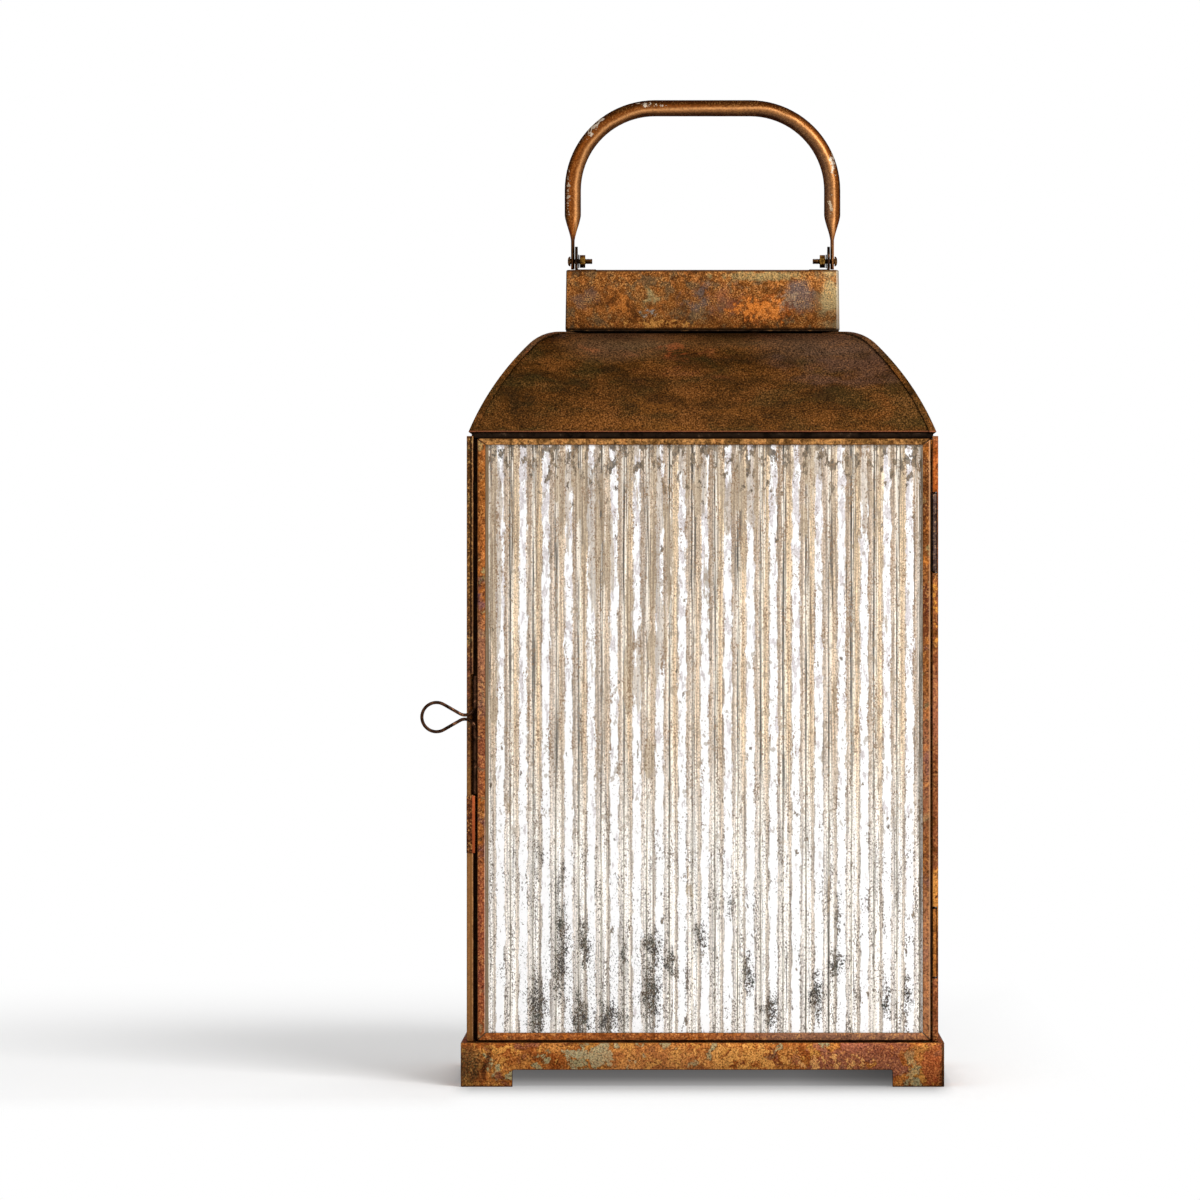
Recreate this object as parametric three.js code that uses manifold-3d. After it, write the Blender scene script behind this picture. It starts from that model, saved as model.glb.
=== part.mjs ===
// Candle lantern with ribbed mercury-glass panes in a patinated sheet-metal frame.
// A footed plinth carries four folded corner posts, three fixed glazed frames and a hinged
// glazed door. A curved hip roof with lapped seams carries a tapered chimney and a tube bail.
// Millimetres, +X right, +Y back, +Z up. Heights are worked out from the table the feet
// stand on, and the finished group is lowered so that the candle floor's top is at z = 0.

import * as THREE from "three";
import { mergeVertices } from "three/addons/utils/BufferGeometryUtils.js";
import Module from "manifold-3d";

const wasm = await Module();
wasm.setup();

// Shared sizes
const seat = 0.3; // gap left at each soldered or resting joint
const sheet = 0.8; // sheet metal of the plinth, posts, ring and roof

// Plinth
const plinthSideStep = 3.1; // from the side of the body out to the plinth's side
const plinthFrontStep = 4; // from the front or back of the body out to the plinth
const plinthHeight = 24;
const plinthLedge = 20;
const footHeight = 9.2;
const footWidth = 28;
const archFillet = 1;
const floorRim = 0.5; // play between the candle floor and the frames round it
const floorCorner = 3;

// Body box, to the outside of the posts
const bodyWidth = 255;
const bodyDepth = 174;
const postOver = 1.4; // posts above the tops of the frames
const postSideLeg = 10;
const leftPostFace = 3.6;
const rightPostFace = 3.2;
const postReturn = 2.4;
const backPostLeg = 10;

// Glazed frames, folded from channel
const frameHeight = 326;
const channelDepth = 6;
const channelWall = 0.6;
const channelFace = 4.5;

// Ribbed panes
const paneBase = 2.6;
const ribHeight = 1.4;
const ribPitch = 12.3;
const ribSteps = 6;
const doorRibShift = 0.9; // from the middle of the door's pane to its nearest crown
const panePlay = 0.4; // from a pane's edge to the channel's web

// Door
const doorLeftGap = 2.1;
const doorBottomGap = 0.6;
const doorStop = 0.4; // from the door's back to the side frames
const doorTopRail = 3.4;
const doorBottomRail = 4.1;
const doorLeftStile = 4.5;
const doorRightStile = 4.3;

// Hinges
const hingeInset = 2; // from the right post's outer face to the hinge axis
const hingeProud = 0.3; // hinge axis in front of the post's face
const knuckleRadius = 1.1;
const knuckleBore = 0.65;
const pinRadius = 0.57;
const pinHeadRadius = 0.95;
const pinHeadHeight = 0.8;
const leafThickness = 0.45;
const leafDepth = 5.3;
const knuckleClearance = 0.25;
const leafPlay = 0.25; // from the fixed leaf to the inside of the post
const bridgeHalf = 0.3; // half the sheet that joins the door leaf to its knuckle
const upperHingeHeight = 41.6;
const lowerHingeHeight = 36.5;
const upperHingeBase = 254.4; // above the bottom of the frames
const lowerHingeBase = 35.2;

// Latch loop and the spring catch below it
const latchWire = 0.9; // radius
const latchLoopRadius = 7.9;
const latchReach = 20.8; // from the legs to the loop's centre
const latchNeck = 1.1; // half the distance between the wires at the neck
const latchFlare = 5.4;
const latchHeight = 175.4; // above the bottom of the frames
const latchUpperLeg = 22.2;
const latchLowerLeg = 41.5;
const latchNotch = 1.3; // from the legs to the edge of the notch in the post
const latchBlend = 2; // run over which the wire steps back from its plane to the legs
const notchTopPlay = 1; // notch past the upper leg's end
const notchBottomPlay = 0.5;
const catchDrop = 1; // from the lower leg's end to the catch
const catchHeight = 31;
const catchWidth = 4.1;
const catchSheet = 0.5;
const catchBulge = 0.9;
const catchDepth = 4.6;

// Ring under the eaves
const ringHeight = 3;
const ringLeg = 9;
const ringInset = 0.5; // from the hidden face of the roof sides to the ring

// Roof
const eaveSideInset = 2.1; // from the side of the body in to the side panels' hidden face
const eaveFrontInset = 1.4; // from the front or back of the body in to the panel's eave
const eaveSlope = 68; // degrees from level
const shoulderSlope = 45.6;
const roofMainRadius = 148.4;
const roofShoulderRadius = 23.2;
const eaveLip = 7;
const seamLap = 3.8;
const roofMainSteps = 8;
const roofShoulderSteps = 6;

// Chimney
const chimneyLedge = 2; // flat of the roof left outside the chimney
const chimneyHeight = 32.7;
const chimneyTaper = 0.5;
const chimneyWall = 0.8;
const chimneyCorner = 1.6;
const chimneyEdge = 0.7;
const collarHeight = 10;
const collarSheet = 0.7;
const collarPlay = 1; // room between the collar and the chimney's wall
const flangeRest = 4; // from the collar's wall to the edge of the roof's opening
const ventCount = 7;
const ventLength = 34;
const ventWidth = 5;
const ventPitch = 15;

// Bail and its fixings
const bailTube = 4.5; // radius
const bailCorner = 45.5;
const bailRise = 85; // from the pivots to the axis of the top bar
const bailFlatHalf = 1;
const bailFlatWidth = 6.2;
const bailEnd = 4.5;
const bailFlatLength = 11.5;
const bailTaper = 14;
const pivotHeight = 6.4; // above the chimney's top
const tabInset = 4.2; // from the chimney's top edge to the outside of the tab
const bracketSheet = 1.4;
const bracketWidth = 13;
const bracketFoot = 11.6;
const bracketRise = 14.3;
const bracketBend = 2;
const screwRadius = 1.5;
const screwHole = 1.58;
const screwHeadRadius = 2.7;
const screwHeadHeight = 1.5;
const screwPoint = 0.5; // bevel of the screw's end
const screwReach = 9.5; // past the outside of the tab
const nutAcross = 6.2;
const nutHeight = 3;
const washerRadius = 3.8;
const washerThickness = 0.6;

// Heights from the table
const bodyBottom = plinthHeight + seat;
const floorTop = bodyBottom + sheet;
const frameTop = bodyBottom + frameHeight;
const postTop = frameTop + postOver;
const ringBottom = frameTop + seat;
const ringTop = ringBottom + ringHeight;
const eaveHeight = ringTop + seat;
const doorBottom = bodyBottom + doorBottomGap;
const latchZ = bodyBottom + latchHeight;

// Plan lines shared by several pieces
const halfWidth = bodyWidth / 2;
const halfDepth = bodyDepth / 2;
const plinthHalfWidth = halfWidth + plinthSideStep;
const plinthHalfDepth = halfDepth + plinthFrontStep;
const wallInside = sheet + seat; // from a post's outer face to the frame behind it
const frameOutX = halfWidth - wallInside;
const frameOutY = halfDepth - wallInside;
const backFrameFront = frameOutY - channelDepth;
const doorBack = -halfDepth + channelDepth;
const sideFrameFront = doorBack + doorStop;
const hingeX = halfWidth - hingeInset;
const hingeY = -halfDepth - hingeProud;
const doorLeft = -halfWidth + leftPostFace + doorLeftGap;
const doorLeafX = hingeX - knuckleRadius - seat - leafThickness;
const doorRight = doorLeafX - seat;
const fixedLeafX = halfWidth - sheet - leafPlay - leafThickness;
const paneBackSet = (channelDepth - paneBase - ribHeight) / 2; // pane centred in the channel

// Roof lines: each panel's face is one curve, offset by whole sheets and gaps
const roofHalfWidth = halfWidth - eaveSideInset;
const roofHalfDepth = halfDepth - eaveFrontInset;
const eaveAngle = THREE.MathUtils.degToRad(eaveSlope);
const shoulderAngle = THREE.MathUtils.degToRad(shoulderSlope);
const seamUnder = seat;
const seamOver = seat + sheet;
const mainRun = roofMainRadius * (Math.sin(eaveAngle) - Math.sin(shoulderAngle));
const mainRise = roofMainRadius * (Math.cos(shoulderAngle) - Math.cos(eaveAngle));
const flatRun = mainRun + roofShoulderRadius * Math.sin(shoulderAngle);
const roofRise = mainRise + roofShoulderRadius * (1 - Math.cos(shoulderAngle));
const roofTop = eaveHeight + roofRise + seamOver;
const chimneyHalfX = roofHalfWidth - flatRun - chimneyLedge;
const chimneyHalfY = roofHalfDepth - flatRun - chimneyLedge;
const collarOutX = chimneyHalfX - chimneyWall - collarPlay;
const collarOutY = chimneyHalfY - chimneyWall - collarPlay;
const openingRun = roofHalfWidth - collarOutX + flangeRest;
const collarBottom = roofTop + seat;
const chimneyBottom = collarBottom + collarSheet + seat;
const chimneyTop = chimneyBottom + chimneyHeight;
const chimneyTopX = chimneyHalfX - chimneyTaper;

// Pivot line of the bail
const pivotZ = chimneyTop + pivotHeight;
const tabOutX = chimneyTopX - tabInset;
const bailX = tabOutX + seat + bailFlatHalf;

// Closed body from shared points and triangles, turned so that its faces point out
function closedBody(points, triangles) {
  const geometry = new THREE.BufferGeometry();
  const positions = points.flatMap((p) => [p.x, p.y, p.z]);
  geometry.setAttribute("position", new THREE.Float32BufferAttribute(positions, 3));
  let volume = 0;
  for (const [a, b, c] of triangles) {
    volume += points[a].dot(new THREE.Vector3().crossVectors(points[b], points[c]));
  }
  const ordered = volume > 0 ? triangles : triangles.map(([a, b, c]) => [a, c, b]);
  geometry.setIndex(ordered.flat());
  return geometry;
}

// Triangles of a flat ring of points, by their place in the list
function capTriangles(ring) {
  const normal = new THREE.Vector3();
  ring.forEach((p, i) => {
    normal.add(new THREE.Vector3().crossVectors(p, ring[(i + 1) % ring.length]));
  });
  normal.normalize();
  const along = new THREE.Vector3().subVectors(ring[1], ring[0]).normalize();
  const across = new THREE.Vector3().crossVectors(normal, along);
  const flat = ring.map((p) => new THREE.Vector2(p.dot(along), p.dot(across)));
  return THREE.ShapeUtils.triangulateShape(flat, []);
}

// Skin through rings of equal length, either capped at both ends or closed on itself
function loft(rings, closed = false) {
  const count = rings[0].length;
  const triangles = [];
  const spans = closed ? rings.length : rings.length - 1;
  for (let i = 0; i < spans; i += 1) {
    const low = i * count;
    const high = ((i + 1) % rings.length) * count;
    for (let j = 0; j < count; j += 1) {
      const next = (j + 1) % count;
      triangles.push([low + j, low + next, high + next]);
      triangles.push([low + j, high + next, high + j]);
    }
  }
  if (!closed) {
    const last = (rings.length - 1) * count;
    for (const [a, b, c] of capTriangles(rings[0])) triangles.push([a, c, b]);
    for (const [a, b, c] of capTriangles(rings[rings.length - 1])) {
      triangles.push([last + a, last + b, last + c]);
    }
  }
  return closedBody(rings.flat(), triangles);
}

// Sheet of real thickness between an outer and an inner grid of points
function thickSheet(outer, inner) {
  const rows = outer.length;
  const columns = outer[0].length;
  const inside = rows * columns;
  const at = (i, j) => i * columns + j;
  const triangles = [];
  const quad = (a, b, c, d) => triangles.push([a, b, c], [a, c, d]);
  for (let i = 0; i < rows - 1; i += 1) {
    for (let j = 0; j < columns - 1; j += 1) {
      quad(at(i, j), at(i, j + 1), at(i + 1, j + 1), at(i + 1, j));
      quad(inside + at(i, j), inside + at(i + 1, j), inside + at(i + 1, j + 1), inside + at(i, j + 1));
    }
  }
  for (let i = 0; i < rows - 1; i += 1) {
    const right = columns - 1;
    quad(at(i, 0), at(i + 1, 0), inside + at(i + 1, 0), inside + at(i, 0));
    quad(at(i + 1, right), at(i, right), inside + at(i, right), inside + at(i + 1, right));
  }
  for (let j = 0; j < columns - 1; j += 1) {
    const top = rows - 1;
    quad(at(0, j + 1), at(0, j), inside + at(0, j), inside + at(0, j + 1));
    quad(at(top, j), at(top, j + 1), inside + at(top, j + 1), inside + at(top, j));
  }
  return closedBody([...outer.flat(), ...inner.flat()], triangles);
}

// Closed outline of a bent sheet: an open path and the same path set over by its thickness
function foldedOutline(path, thickness) {
  const inner = path.map((point, i) => {
    const before = path[Math.max(i - 1, 0)];
    const after = path[Math.min(i + 1, path.length - 1)];
    const first = i === 0 ? leftNormal(point, after) : leftNormal(before, point);
    const second = i === path.length - 1 ? first : leftNormal(point, after);
    const share = thickness / (1 + first.dot(second));
    return point.clone().addScaledVector(first.clone().add(second), share);
  });
  return [...path, ...inner.reverse()];
}

function leftNormal(from, to) {
  const along = new THREE.Vector2().subVectors(to, from).normalize();
  return new THREE.Vector2(-along.y, along.x);
}

function flatPoints(pairs) {
  return pairs.map(([u, v]) => new THREE.Vector2(u, v));
}

// Points of an arc, from one angle to another in radians
function arcPoints(centreU, centreV, radius, from, to, steps) {
  const points = [];
  for (let i = 0; i <= steps; i += 1) {
    const angle = from + ((to - from) * i) / steps;
    points.push(new THREE.Vector2(centreU + radius * Math.cos(angle), centreV + radius * Math.sin(angle)));
  }
  return points;
}

// Straight bar with the outline given in X and Y, standing from one height to another
function uprightBar(outline, low, high) {
  return loft([low, high].map((z) => outline.map((p) => new THREE.Vector3(p.x, p.y, z))));
}

// Round bar along X, Y or Z, used for holes
function roundCutter(radius, length, axis, centre) {
  const geometry = new THREE.CylinderGeometry(radius, radius, length, 20);
  if (axis === "x") geometry.rotateZ(Math.PI / 2);
  if (axis === "z") geometry.rotateX(Math.PI / 2);
  return geometry.translate(centre.x, centre.y, centre.z);
}

function boxCutter(low, high) {
  const size = new THREE.Vector3().subVectors(high, low);
  const middle = new THREE.Vector3().addVectors(low, high).multiplyScalar(0.5);
  return new THREE.BoxGeometry(size.x, size.y, size.z).translate(middle.x, middle.y, middle.z);
}

function solidOf(geometry) {
  const bare = geometry.clone();
  bare.deleteAttribute("normal");
  bare.deleteAttribute("uv");
  const merged = mergeVertices(bare, 1e-4);
  return new wasm.Manifold(
    new wasm.Mesh({
      numProp: 3,
      vertProperties: new Float32Array(merged.attributes.position.array),
      triVerts: new Uint32Array(merged.index.array),
    }),
  );
}

function geometryOf(solid) {
  const mesh = solid.getMesh();
  const geometry = new THREE.BufferGeometry();
  geometry.setAttribute("position", new THREE.BufferAttribute(mesh.vertProperties, 3));
  geometry.setIndex(new THREE.BufferAttribute(mesh.triVerts, 1));
  return geometry;
}

function cut(geometry, ...cutters) {
  const left = cutters.reduce((solid, cutter) => solid.subtract(solidOf(cutter)), solidOf(geometry));
  return geometryOf(left);
}

function join(...geometries) {
  const [first, ...others] = geometries.map(solidOf);
  return geometryOf(others.reduce((solid, other) => solid.add(other), first));
}

// One side of a mitred rectangular frame. The frame lies in the plane of a and b; the
// section's u runs across that plane and its v runs in from the frame's edge.
function frameMember(rectangle, faces, side, section, place) {
  const shift = seat / Math.SQRT2;
  const { a0, a1, b0, b1 } = rectangle;
  const own = faces[side];
  const ends = {
    left: (v) => [b0 + (v * faces.bottom) / own + shift, b1 - (v * faces.top) / own - shift],
    right: (v) => [b0 + (v * faces.bottom) / own + shift, b1 - (v * faces.top) / own - shift],
    bottom: (v) => [a0 + (v * faces.left) / own + shift, a1 - (v * faces.right) / own - shift],
    top: (v) => [a0 + (v * faces.left) / own + shift, a1 - (v * faces.right) / own - shift],
  };
  const across = {
    left: (v) => a0 + v,
    right: (v) => a1 - v,
    bottom: (v) => b0 + v,
    top: (v) => b1 - v,
  };
  const upright = side === "left" || side === "right";
  const ring = (end) =>
    section.map((p) => {
      const run = ends[side](p.y)[end];
      const offset = across[side](p.y);
      return upright ? place(offset, run, p.x) : place(run, offset, p.x);
    });
  return loft([ring(0), ring(1)]);
}

// Ring of constant section round a rectangle, mitred at its four corners
function rectangularRing(halfX, halfY, section) {
  const corners = [[-1, -1], [1, -1], [1, 1], [-1, 1]];
  const rings = corners.map(([sx, sy]) =>
    section.map((p) => new THREE.Vector3(sx * (halfX - p.y), sy * (halfY - p.y), p.x)),
  );
  return loft(rings, true);
}

// Section of a channel whose web is at the frame's edge and whose flanges hold the pane
function channelSection(face) {
  return flatPoints([
    [0, 0],
    [channelDepth, 0],
    [channelDepth, face],
    [channelDepth - channelWall, face],
    [channelDepth - channelWall, channelWall],
    [channelWall, channelWall],
    [channelWall, face],
    [0, face],
  ]);
}

// Height of the rib at a distance from a crown
function ribRise(a) {
  const turn = a / ribPitch - Math.round(a / ribPitch);
  return ribHeight * (1 - 4 * turn * turn);
}

// Pane with a flat back and upright convex ribs on its face, one crown of them on a line
function ribbedPane({ a0, a1, b0, b1, crown }, place) {
  const low = a0 - crown;
  const high = a1 - crown;
  const step = ribPitch / ribSteps;
  const face = [low];
  for (let i = Math.ceil(low / step); i * step < high; i += 1) {
    if (i * step - low > step / 4 && high - i * step > step / 4) face.push(i * step);
  }
  face.push(high);
  const outline = [
    ...face.map((a) => new THREE.Vector2(crown + a, paneBase + ribRise(a))),
    new THREE.Vector2(a1, 0),
    new THREE.Vector2(a0, 0),
  ];
  return loft([b0, b1].map((b) => outline.map((p) => place(p.x, b, p.y))));
}

// Pane that sits in the channels of a frame
function paneIn({ a0, a1, b0, b1 }, shift, place) {
  const edge = channelWall + panePlay;
  const crown = (a0 + a1) / 2 + shift;
  return ribbedPane({ a0: a0 + edge, a1: a1 - edge, b0: b0 + edge, b1: b1 - edge, crown }, place);
}

// Materials
function metal(color, roughness) {
  return new THREE.MeshStandardMaterial({ color, roughness, metalness: 0.75 });
}

function mercuryGlass(color) {
  return new THREE.MeshStandardMaterial({ color, roughness: 0.16, metalness: 0.35 });
}

const lantern = new THREE.Group();

function addPiece(name, geometry, material) {
  geometry.computeVertexNormals();
  const mesh = new THREE.Mesh(geometry, material);
  mesh.name = name;
  lantern.add(mesh);
}

// Plinth: four folded strips, mitred at the corners, each cut away between its two feet
function plinthSection() {
  const path = flatPoints([[plinthHeight, plinthLedge], [plinthHeight, 0], [0, 0]]);
  return foldedOutline(path, -sheet);
}

function archCutter(halfSpan, alongX) {
  const shape = new THREE.Shape();
  shape.moveTo(-halfSpan, -footHeight);
  shape.lineTo(halfSpan, -footHeight);
  shape.lineTo(halfSpan, footHeight - archFillet);
  shape.absarc(halfSpan - archFillet, footHeight - archFillet, archFillet, 0, Math.PI / 2);
  shape.absarc(-halfSpan + archFillet, footHeight - archFillet, archFillet, Math.PI / 2, Math.PI);
  const depth = 4 * Math.max(plinthHalfWidth, plinthHalfDepth);
  const options = { depth, bevelEnabled: false, curveSegments: 5 };
  const geometry = new THREE.ExtrudeGeometry(shape, options);
  geometry.rotateX(Math.PI / 2).translate(0, depth / 2, 0);
  if (!alongX) geometry.rotateZ(Math.PI / 2);
  return geometry;
}

function addPlinth() {
  const colors = { bottom: 0x9a6a34, top: 0x8c6134, left: 0x946434, right: 0x8e6436 };
  const names = { bottom: "plinth_front", top: "plinth_back", left: "plinth_left", right: "plinth_right" };
  const rectangle = { a0: -plinthHalfWidth, a1: plinthHalfWidth, b0: -plinthHalfDepth, b1: plinthHalfDepth };
  const faces = { left: plinthLedge, right: plinthLedge, bottom: plinthLedge, top: plinthLedge };
  const place = (a, b, u) => new THREE.Vector3(a, b, u);
  for (const side of Object.keys(names)) {
    const strip = frameMember(rectangle, faces, side, plinthSection(), place);
    const alongX = side === "bottom" || side === "top";
    const halfSpan = (alongX ? plinthHalfWidth : plinthHalfDepth) - footWidth;
    addPiece(names[side], cut(strip, archCutter(halfSpan, alongX)), metal(colors[side], 0.5));
  }
}

function addCandleFloor() {
  const x = frameOutX - channelDepth - floorRim;
  const y = backFrameFront - floorRim;
  const shape = new THREE.Shape();
  shape.absarc(x - floorCorner, y - floorCorner, floorCorner, 0, Math.PI / 2);
  shape.absarc(-x + floorCorner, y - floorCorner, floorCorner, Math.PI / 2, Math.PI);
  shape.absarc(-x + floorCorner, -y + floorCorner, floorCorner, Math.PI, 1.5 * Math.PI);
  shape.absarc(x - floorCorner, -y + floorCorner, floorCorner, 1.5 * Math.PI, 2 * Math.PI);
  const plate = new THREE.ExtrudeGeometry(shape, { depth: sheet, bevelEnabled: false, curveSegments: 4 });
  addPiece("floor_plate", plate.translate(0, 0, bodyBottom), metal(0x6b4a2a, 0.55));
}

// Corner posts: folded angle strips, the front ones with a narrow face and an inner return
function frontPost(side, face) {
  const path = flatPoints([
    [side * (halfWidth - face), -halfDepth + postReturn],
    [side * (halfWidth - face), -halfDepth],
    [side * halfWidth, -halfDepth],
    [side * halfWidth, -halfDepth + postSideLeg],
  ]);
  return uprightBar(foldedOutline(path, side * sheet), bodyBottom, postTop);
}

function backPost(side) {
  const path = flatPoints([
    [side * (halfWidth - backPostLeg), halfDepth],
    [side * halfWidth, halfDepth],
    [side * halfWidth, halfDepth - postSideLeg],
  ]);
  return uprightBar(foldedOutline(path, -side * sheet), bodyBottom, postTop);
}

// Slot in the right post's face for a hinge barrel
function hingeSlot({ base, height }) {
  const ends = pinHeadHeight + seat;
  const reach = knuckleRadius + seat;
  return boxCutter(
    new THREE.Vector3(halfWidth - rightPostFace - seat, -halfDepth - 1, base - ends),
    new THREE.Vector3(hingeX + reach, -halfDepth + postReturn + seat, base + height + ends),
  );
}

function hinges() {
  return [
    { name: "upper", base: bodyBottom + upperHingeBase, height: upperHingeHeight },
    { name: "lower", base: bodyBottom + lowerHingeBase, height: lowerHingeHeight },
  ];
}

// Cut-away in the left post's inner edge where the latch legs lie
function latchNotchCutter() {
  const legX = doorLeft - seat - latchWire;
  return boxCutter(
    new THREE.Vector3(legX - latchWire - latchNotch, -halfDepth - 1, latchZ - latchLowerLeg - notchBottomPlay),
    new THREE.Vector3(legX, -halfDepth + postReturn + seat, latchZ + latchUpperLeg + notchTopPlay),
  );
}

function addPosts() {
  const brown = metal(0x5c3d24, 0.5);
  const left = frontPost(-1, leftPostFace);
  addPiece("left_front_post", cut(left, latchNotchCutter()), brown);
  const right = frontPost(1, rightPostFace);
  addPiece("right_front_post", cut(right, ...hinges().map(hingeSlot)), metal(0x5a4129, 0.5));
  addPiece("left_back_post", backPost(-1), metal(0x59402a, 0.5));
  addPiece("right_back_post", backPost(1), metal(0x573d26, 0.5));
}

// A frame of four mitred channels with its pane
function addGlazedFrame(name, rectangle, faces, place, { shift, outward }, colors) {
  for (const side of ["left", "right", "bottom", "top"]) {
    const member = frameMember(rectangle, faces, side, channelSection(faces[side]), place);
    addPiece(`${name}_${side}`, member, metal(colors[side], 0.48));
  }
  addPiece(`${name}_pane`, paneIn(rectangle, shift, outward), mercuryGlass(colors.pane));
}

function addFixedFrames() {
  const face = channelFace;
  const faces = { left: face, right: face, bottom: face, top: face };
  const colors = { left: 0x7d4f27, right: 0x7b5129, bottom: 0x85562c, top: 0x6f4826, pane: 0xcfc6b6 };
  const sideway = {
    a0: sideFrameFront,
    a1: backFrameFront - seat,
    b0: bodyBottom,
    b1: frameTop,
  };
  for (const [name, side] of [["left_frame", -1], ["right_frame", 1]]) {
    const inside = frameOutX - channelDepth;
    const place = (a, b, u) => new THREE.Vector3(side * (inside + u), a, b);
    const outward = (a, b, u) => new THREE.Vector3(side * (inside + paneBackSet + u), a, b);
    addGlazedFrame(name, sideway, faces, place, { shift: 0, outward }, colors);
  }
  const across = { a0: -frameOutX, a1: frameOutX, b0: bodyBottom, b1: frameTop };
  const place = (a, b, u) => new THREE.Vector3(a, backFrameFront + u, b);
  const outward = (a, b, u) => new THREE.Vector3(a, backFrameFront + paneBackSet + u, b);
  addGlazedFrame("back_frame", across, faces, place, { shift: 0, outward }, colors);
}

function addDoor() {
  const rectangle = { a0: doorLeft, a1: doorRight, b0: doorBottom, b1: frameTop };
  const faces = { left: doorLeftStile, right: doorRightStile, bottom: doorBottomRail, top: doorTopRail };
  const colors = { left: 0xa8512b, right: 0x8a5a30, bottom: 0xb35a28, top: 0xa8642c, pane: 0xd8cfc0 };
  const place = (a, b, u) => new THREE.Vector3(a, doorBack - u, b);
  const outward = (a, b, u) => new THREE.Vector3(a, doorBack - paneBackSet - u, b);
  addGlazedFrame("door", rectangle, faces, place, { shift: doorRibShift, outward }, colors);
}

// Hinges: two leaves with knuckles on one pin
function knuckle(low, high) {
  const ring = new THREE.Shape();
  ring.absarc(0, 0, knuckleRadius, 0, 2 * Math.PI);
  const bore = new THREE.Path();
  bore.absarc(0, 0, knuckleBore, 0, 2 * Math.PI, true);
  ring.holes.push(bore);
  const options = { depth: high - low, bevelEnabled: false, curveSegments: 8 };
  return new THREE.ExtrudeGeometry(ring, options).translate(hingeX, hingeY, low);
}

function boreCutter(low, high) {
  const middle = new THREE.Vector3(hingeX, hingeY, (low + high) / 2);
  return roundCutter(knuckleBore, high - low + 2, "z", middle);
}

function addHinge({ name, base, height }) {
  const third = height / 3;
  const top = base + height;
  const leafBack = -halfDepth + leafDepth;
  const middleLow = base + third + knuckleClearance;
  const middleHigh = top - third - knuckleClearance;

  const doorLeaf = boxCutter(
    new THREE.Vector3(doorLeafX, hingeY - bridgeHalf, base),
    new THREE.Vector3(doorLeafX + leafThickness, leafBack, top),
  );
  const doorBridge = boxCutter(
    new THREE.Vector3(doorLeafX, hingeY - bridgeHalf, middleLow),
    new THREE.Vector3(hingeX - knuckleBore - 0.1, hingeY + bridgeHalf, middleHigh),
  );
  const moving = join(knuckle(middleLow, middleHigh), doorLeaf, doorBridge);
  addPiece(`${name}_hinge_door_leaf`, moving, metal(0x6d5236, 0.42));

  const fixedLeaf = boxCutter(
    new THREE.Vector3(fixedLeafX, hingeY, base),
    new THREE.Vector3(fixedLeafX + leafThickness, leafBack, top),
  );
  const room = boxCutter(
    new THREE.Vector3(hingeX, hingeY - 1, base + third),
    new THREE.Vector3(halfWidth, hingeY + knuckleRadius + seat, top - third),
  );
  const lower = knuckle(base, base + third);
  const upper = knuckle(top - third, top);
  const fixed = cut(join(cut(fixedLeaf, room), lower, upper), boreCutter(base, top));
  addPiece(`${name}_hinge_post_leaf`, fixed, metal(0x7a6a52, 0.42));

  const head = pinHeadHeight - seat;
  const profile = flatPoints([
    [0, base - pinHeadHeight],
    [pinHeadRadius * 0.7, base - pinHeadHeight],
    [pinHeadRadius, base - pinHeadHeight + head / 2],
    [pinHeadRadius, base - seat / 2],
    [pinRadius, base - seat / 2],
    [pinRadius, top + seat / 2],
    [pinHeadRadius, top + seat / 2],
    [pinHeadRadius, top + pinHeadHeight - head / 2],
    [pinHeadRadius * 0.7, top + pinHeadHeight],
    [0, top + pinHeadHeight],
  ]);
  const pin = new THREE.LatheGeometry(profile, 14).rotateX(Math.PI / 2);
  addPiece(`${name}_hinge_pin`, pin.translate(hingeX, hingeY, 0), metal(0x4a3a2a, 0.4));
}

// Tube through points, its section turned along with the path
function sweptTube(points, radius, sides) {
  const rings = [];
  let side = new THREE.Vector3(0, 1, 0);
  points.forEach((point, i) => {
    const before = points[Math.max(i - 1, 0)];
    const after = points[Math.min(i + 1, points.length - 1)];
    const along = new THREE.Vector3().subVectors(after, before).normalize();
    side = side.clone().addScaledVector(along, -side.dot(along)).normalize();
    const up = new THREE.Vector3().crossVectors(along, side);
    const ring = [];
    for (let j = 0; j < sides; j += 1) {
      const angle = (2 * Math.PI * j) / sides;
      const reach = side.clone().multiplyScalar(radius * Math.cos(angle));
      ring.push(reach.addScaledVector(up, radius * Math.sin(angle)).add(point));
    }
    rings.push(ring);
  });
  return loft(rings);
}

// Upper half of the latch wire in X and height over the loop's centre, from the leg's end
// down the leg, round the flare, along the slanting run and a quarter way round the loop
function latchHalfPath(legX, legLength) {
  const centreX = legX - latchReach;
  const flareX = legX - latchFlare;
  const flareZ = latchNeck + latchFlare;
  const span = Math.hypot(flareX - centreX, flareZ);
  const lean = Math.atan2(flareZ, flareX - centreX);
  const touch = lean + Math.acos((latchLoopRadius + latchFlare) / span);
  return [
    new THREE.Vector2(legX, legLength),
    ...arcPoints(flareX, flareZ, latchFlare, 0, touch - Math.PI, 8),
    ...arcPoints(centreX, 0, latchLoopRadius, touch, Math.PI, 9),
  ];
}

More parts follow.
